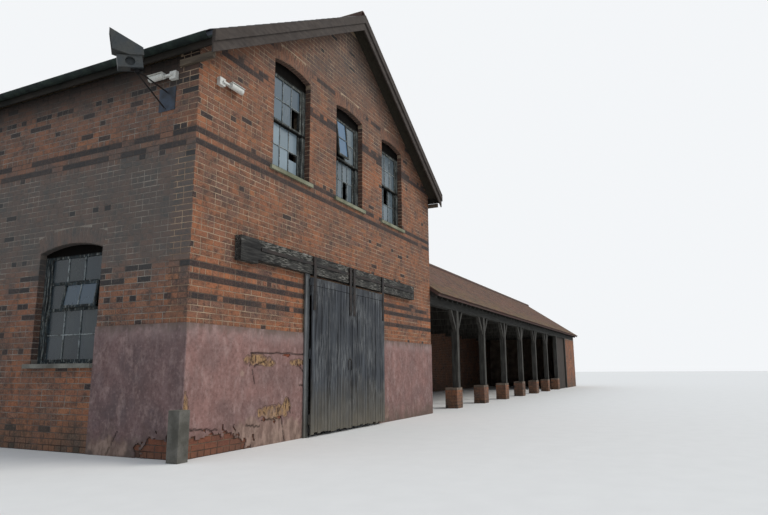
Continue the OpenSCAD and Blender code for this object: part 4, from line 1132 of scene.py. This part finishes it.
bar_model, pane_model = model_bar(), model_pane()
dusty_glass = glass_finish()
gable_paint_and_shade = sash_finish("window paint and painted shade, gable", (84, 88, 86), (52, 54, 52),
                          GABLE_SPRING - 0.15, MEETING_RAIL)
side_paint_and_shade = sash_finish("window paint and painted shade, side", (52, 60, 63), (34, 38, 40), SIDE_SPRING - 0.045, 0)
bar_paint = sash_finish("glazing bar paint", (150, 156, 156), (104, 110, 110), roof_top[1].z, 0)
GABLE_MISSING = {(0, "upper", 2, 0), (1, "lower", 2, 0), (2, "lower", 1, 1)}
GABLE_BROKEN = {(0, "lower", 2, 0): 0.62}
# For each window part: its film of dust and its share of painted sky reflection, most on the tilted light.
GABLE_DUST_AND_PAINTED_SKY = {(0, "upper"): (0.36, 0.12), (0, "lower"): (0.70, 0.0), (1, "light"): (0.5, 0.8),
               (1, "upper"): (0.4, 0.0), (1, "lower"): (0.45, 0.0), (2, "upper"): (0.34, 0.0),
               (2, "lower"): (0.42, 0.0)}
SIDE_DUST_AND_PAINTED_SKY = {(i, part): shine for i in range(3) for part, shine in (
    ("upper", (0.05, 0.0)), ("lower", (0.07, 0.0)), ("light", (0.10, 0.22)), ("rest", (0.05, 0.0)))}
SIDE_COLUMNS = {(i, part): count for i in range(3) for part, count in (
    ("upper", 3), ("lower", 3), ("light", 2), ("rest", 1))}
for kind, paint, missing, broken, shine, columns_of, seed in (
        ("gable", gable_paint_and_shade, GABLE_MISSING, GABLE_BROKEN, GABLE_DUST_AND_PAINTED_SKY, {(1, "lower"): 4}, 101),
        ("side", side_paint_and_shade, {}, {}, SIDE_DUST_AND_PAINTED_SKY, SIDE_COLUMNS, 102)):
    bars, bar_stretch, panes, pane_tones = glaze(
        kind + "_window_glass", missing, broken, shine, columns_of, seed)
    settle(copies(kind + "_glazing_bars", bar_model, bars, bar_stretch), "building", bar_paint)
    settle(copies(kind + "_panes", pane_model, panes, None, pane_tones), "building", dusty_glass,
           (kind + "_window_glass",))
    dress(paint, kind + "_window_frames")
bpy.data.objects.remove(bar_model)
bpy.data.objects.remove(pane_model)

# Sills: slabs of sandstone that stand out from the wall a little, buff and mossy under the
# windows of the gables, greyer along the side.


def stone_finish(name, face, shade, moss_amount):
    made, tree, shader = new_finish(name, 0.92)
    grain = grain_at(tree, 50.0, 5.0)
    stone = mixed(tree, face, shade, grain["Patches"])
    stone = stained(tree, stone, (70, 68, 58), rising(tree, grain["Fine"], 0.48, 0.3), 0.6)
    stone = mixed(tree, stone, (128, 134, 84), moss_at(tree, moss_amount))
    return finished(made, tree, shader, stone, grain["Height"], 0.006)


dress(stone_finish("sill stone", (138, 138, 118), (104, 106, 86), 0.6), "gable_window_sills")
dress(stone_finish("grey sill stone", (124, 122, 114), (92, 90, 84), 0.2), "side_window_sills")

# The sliding doors: two ledged leaves of upright planks, bleached and ragged at the foot, hung by
# iron straps from wheels that run on a rail in front of a heavy tarred beam.
PLANK_W, PLANK_GAP, PLANK_T = 0.107, 0.005, 0.025
HEAD_RAIL, LEDGE, LEAF_TOP = 0.13, 0.16, 2.40


def timber_finish(name, dark, light, stretch, foot=None, patch=(52, 48, 44), splinters=None, rough=0.85):
    """Weathered timber, paler at its foot or where it has splintered if those colours are given."""
    made, tree, shader = new_finish(name, rough)
    wood = wood_at(tree, stretch)
    grain = grain_at(tree, 30.0, 2.5)
    skin = mixed(tree, dark, light, rising(tree, wood["Streaks"], 0.15, 0.9))
    skin = stained(tree, skin, patch, grain["Patches"], 0.4)
    if splinters:
        split = wood_at(tree, tuple(3.5 * part for part in stretch))
        pale = maths(tree, "MULTIPLY", rising(tree, split["Streaks"], 0.5, 0.72), grain["Patches"])
        skin = stained(tree, skin, splinters, pale, 0.8)
    if foot:
        skin = stained(tree, skin, foot, damp_below(tree, 0.9), 0.8)
    skin = stained(tree, skin, (22, 20, 19), wood["Cracks"], 0.8)
    return finished(made, tree, shader, skin, wood["Height"], 0.004)


def block(name, low, high, arris=0.003):
    """A squared piece from its lowest to its highest corner, its arrises taken off."""
    low, high = Vector(low), Vector(high)
    made = cube(high - low, (low + high) / 2)
    made.name = name
    soften(arris)
    return made


def joined(name, parts):
    """Several pieces made one."""
    bpy.ops.object.select_all(action="DESELECT")
    for part in parts:
        part.select_set(True)
    bpy.context.view_layer.objects.active = parts[0]
    if len(parts) > 1:
        bpy.ops.object.join()
    parts[0].name = name
    return parts[0]


door_plank = timber_finish("door planks", (23, 23, 26), (80, 84, 89), (26.0, 20.0, 0.9), (100, 94, 82),
                           (30, 30, 32), (130, 132, 132))
for leaf, seed in (("left", 111), ("right", 112)):
    low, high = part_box("door_leaf_" + leaf)
    chance = np.random.default_rng(seed)
    rail_low = high.z - HEAD_RAIL
    number = round((high.x - low.x) / PLANK_W)
    step = (high.x - low.x) / number
    parts = []
    for i in range(number):
        left = low.x + step * i + PLANK_GAP / 2
        front = low.y + chance.uniform(0, 0.005)
        foot = low.z + chance.uniform(0, 0.035)
        plank = block("plank", (left, front, foot),
                      (left + step - PLANK_GAP, low.y + PLANK_T, rail_low - 0.004), 0.004)
        for point in plank.data.vertices:
            if point.co.z < foot + 0.01:
                point.co.z += chance.uniform(0, 0.014)
        parts.append(plank)
    lowest, highest = low.z + LEDGE, LEAF_TOP - LEDGE
    for level in (lowest, (lowest + highest) / 2, highest):
        parts.append(block("ledge", (low.x + 0.02, low.y + PLANK_T + 0.0005, level),
                           (high.x - 0.02, high.y, level + LEDGE), 0.006))
    parts.append(block("head_rail", (low.x, low.y + 0.002, rail_low), (high.x, high.y, high.z), 0.006))
    settle(joined("door_planks_" + leaf, parts), leaf + "_door", door_plank,
           ("door_leaf_" + leaf,))

black_timber = timber_finish("tarred beam", (16, 16, 17), (60, 59, 57), (2.0, 26.0, 26.0), None, (34, 37, 30),
                             (158, 154, 146))
jamb_timber = timber_finish("jamb board", (92, 94, 95), (142, 144, 144), (40.0, 40.0, 2.0), (96, 92, 82))
dress(black_timber, "door_beam")
dress(jamb_timber, "door_jamb_board")
black_iron = iron_finish("black iron", (34, 33, 33), (62, 50, 44), 0.6, 0.5)
dress(black_iron, "door_rail", "door_hangers_left", "door_hangers_right")

# Bolts through the straps of the doors, three to a strap, and the pull handle: a bar bent into a
# tall hoop and let into the left leaf by its meeting edge.
bpy.ops.mesh.primitive_cylinder_add(vertices=8, radius=0.013, depth=0.010, rotation=(math.radians(90), 0, 0))
bolt = bpy.context.object
bpy.ops.object.transform_apply(rotation=True)
soften(0.002)
for leaf in ("left", "right"):
    places = []
    for solid in loose_boxes("door_hangers_" + leaf):
        low, high = Vector(solid.min(0)), Vector(solid.max(0))
        if high.z - low.z > 0.3:
            places += [place(Vector(((low.x + high.x) / 2, low.y, low.z + rise)), X, -Y)
                       for rise in (0.04, 0.17, 0.30)]
    settle(copies("strap_bolts_" + leaf, bolt, places), leaf + "_door", black_iron)
bpy.data.objects.remove(bolt)

HANDLE_BEND, HANDLE_BAR, HANDLE_TOP = 0.045, 0.009, 1.24
low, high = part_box("door_leaf_left")
bend_z = HANDLE_TOP - HANDLE_BEND - HANDLE_BAR
bpy.ops.mesh.primitive_torus_add(major_radius=HANDLE_BEND, minor_radius=HANDLE_BAR, major_segments=28,
                                 minor_segments=8, rotation=(math.radians(90), 0, 0),
                                 location=(high.x - 0.075, low.y, bend_z))
handle = bpy.context.object
handle.name = "door_handle"
bpy.ops.object.transform_apply(location=True, rotation=True)
bpy.ops.object.mode_set(mode="EDIT")
bpy.ops.mesh.select_all(action="SELECT")
bpy.ops.mesh.bisect(plane_co=(0, 0, bend_z), plane_no=(0, 0, -1), clear_outer=True)
bpy.ops.mesh.extrude_region_move(TRANSFORM_OT_translate={"value": (0, 0, -0.15)})
bpy.ops.mesh.select_all(action="SELECT")
bpy.ops.mesh.fill_holes(sides=0)
bpy.ops.mesh.normals_make_consistent(inside=False)
bpy.ops.object.mode_set(mode="OBJECT")
settle(handle, "left_door", black_iron)

# Lamp and cameras: a floodlight with a round recess in its gear box and a hood over its lamp, and
# two white cameras on wall boxes, one each side of the corner.
PLATE_FACE = WALL_L - 0.042


def bracket_finish():
    """Black iron rods, and slate-grey paint on the plate that lies against the wall."""
    made, tree, shader = new_finish("bracket iron", 0.7)
    grain = grain_at(tree, 40.0, 7.0)
    across = node(tree, "SeparateXYZ", object_place(tree)).outputs["X"]
    rods = mixed(tree, (24, 24, 25), (46, 38, 34), grain["Patches"])
    plate = mixed(tree, (68, 76, 88), (54, 56, 60), grain["Patches"])
    skin = mixed(tree, rods, plate, between(tree, across, PLATE_FACE, PLATE_FACE + 0.004))
    return finished(made, tree, shader, skin, grain["Height"], 0.0015)


dress(iron_finish("lamp casing", (64, 68, 70), (88, 84, 74), 0.55, 0.35), "floodlight")
dress(iron_finish("camera casing", (206, 206, 200), (176, 172, 160), 0.45, 0.3), "cameras")
dress(bracket_finish(), "floodlight_bracket")

# The guard post at the corner: a squared stub of grey stone that keeps cartwheels off the wall,
# mottled dark and light, with a little moss on its top.
dress(stone_finish("guard stone", (106, 103, 97), (78, 76, 70), 0.2), "corner_guard_post")

# Timber of the range: posts with Y-shaped braces under a long plate, trusses and purlins, all dark
# oak gone grey where the weather reaches it.
range_timber = timber_finish("range timber", (44, 43, 41), (84, 82, 77), (22.0, 22.0, 2.0),
                             patch=(40, 39, 36))
plate_timber = timber_finish("range plate", (36, 35, 34), (62, 61, 58), (2.0, 26.0, 26.0),
                             patch=(38, 40, 34))
dress(range_timber, "range_posts", "range_braces", "range_trusses")
dress(plate_timber, "range_front_plate", "range_purlins")
dress(timber_finish("end boarding", (44, 40, 38), (74, 66, 60), (26.0, 26.0, 1.6)), "range_end_boarding")

# Rafters of the range: sawn softwood set closely under the laths. They show from the yard below
# the tiles, running over the plate and the purlins.
RAFTER_W, RAFTER_D, RAFTER_STEP = 0.05, 0.098, 0.40
half_size = Vector((RAFTER_W / 2, 0.5, RAFTER_D / 2))
rafter_model = block("rafter", -half_size, half_size)
cover_drop = RANGE_COVER + 0.003
range_pitch = math.atan(range_slope)
half_run = range_peak.y - shed_front[0].y
long_side = half_run / math.cos(range_pitch) - 0.12
for point in rafter_model.data.vertices:
    point.co.y *= long_side
places = []
count = math.floor((range_run - 0.3) / RAFTER_STEP)
for i in range(count + 1):
    x = shed_front[0].x + 0.08 + i * (range_run - 0.4) / count
    for side in (-1, 1):
        along_slope = Vector((0, -side * math.cos(range_pitch), math.sin(range_pitch)))
        out = Vector((0, side * math.sin(range_pitch), math.cos(range_pitch)))
        spot = Vector((x, range_peak.y, range_peak.z - cover_drop)) - out * (RAFTER_D / 2)
        spot += Vector((0, side, -range_slope)) * (half_run / 2)
        across = along_slope.cross(out)
        places.append([[across[k], along_slope[k], out[k], spot[k]] for k in range(3)])
settle(copies("range_rafters", rafter_model, places), "building", plate_timber)
bpy.data.objects.remove(rafter_model)

# Inside: a first floor boarded on joists, and the bare carpentry of the roof above it, dry and
# much paler than the timber outside.
inner_timber = timber_finish("inner timber", (92, 76, 58), (128, 108, 84), (4.0, 24.0, 24.0))
dress(inner_timber, "first_floor_boards", "first_floor_joists", "wall_plates", "rafters", "ridge_board")

# The stage: a pale floor, an even sky and one large soft lamp, seen from where the photograph was
# taken in front of the corner.
FOCAL_PX, FRAME_PX, SENSOR = 604.19, 768, 36.0
EYE = Vector((WALL_L - 5.656, WALL_F - 5.372, 1.047))
YAW, LIFT, ROLL = math.radians(64.593), math.radians(10.468), math.radians(-0.399)
camera = bpy.data.objects.new("camera", bpy.data.cameras.new("camera"))
bpy.context.scene.collection.objects.link(camera)
camera.data.sensor_width = SENSOR
camera.data.lens = FOCAL_PX / FRAME_PX * SENSOR
camera.data.clip_end = 400
forward = Vector((math.sin(YAW) * math.cos(LIFT), math.cos(YAW) * math.cos(LIFT), math.sin(LIFT)))
camera.rotation_mode = "QUATERNION"
turn = forward.to_track_quat("-Z", "Y")
camera.rotation_quaternion = turn @ Quaternion((0, 0, 1), ROLL)
camera.location = EYE
bpy.context.scene.camera = camera

bpy.ops.mesh.primitive_plane_add(size=300, location=(0, 0, -0.001))
floor = bpy.context.object
floor.name = "floor"
floor_finish, tree, shader = new_finish("pale floor", 0.9)
speckle = node(tree, "TexNoise", node(tree, "TexCoord").outputs["Object"], Scale=3.0, Detail=4.0).outputs[0]
tree.links.new(mixed(tree, (226, 225, 222), (218, 217, 214), speckle), shader.inputs["Base Color"])
floor.data.materials.append(floor_finish)

world = bpy.data.worlds.new("sky")
bpy.context.scene.world = world
world.use_nodes = True
tree = world.node_tree
background = tree.nodes["Background"]
rays = node(tree, "LightPath").outputs
seen = maths(tree, "MAXIMUM", rays["Is Camera Ray"], maths(tree, "MAXIMUM", rays["Is Glossy Ray"],
                                                          rays["Is Transmission Ray"]))
tree.links.new(mixed(tree, (209.4, 217.8, 228.6), (243.5, 245.8, 248.2), seen), background.inputs["Color"])
background.inputs["Strength"].default_value = 1.0

sun = bpy.data.objects.new("soft_lamp", bpy.data.lights.new("soft_lamp", "SUN"))
bpy.context.scene.collection.objects.link(sun)
sun.data.energy = 1.7
sun.data.angle = math.radians(35)
sun.data.color = (1.0, 0.96, 0.9)
sun.rotation_mode = "QUATERNION"
sun.rotation_quaternion = Vector((-0.45, 0.75, -0.75)).to_track_quat("-Z", "Y")
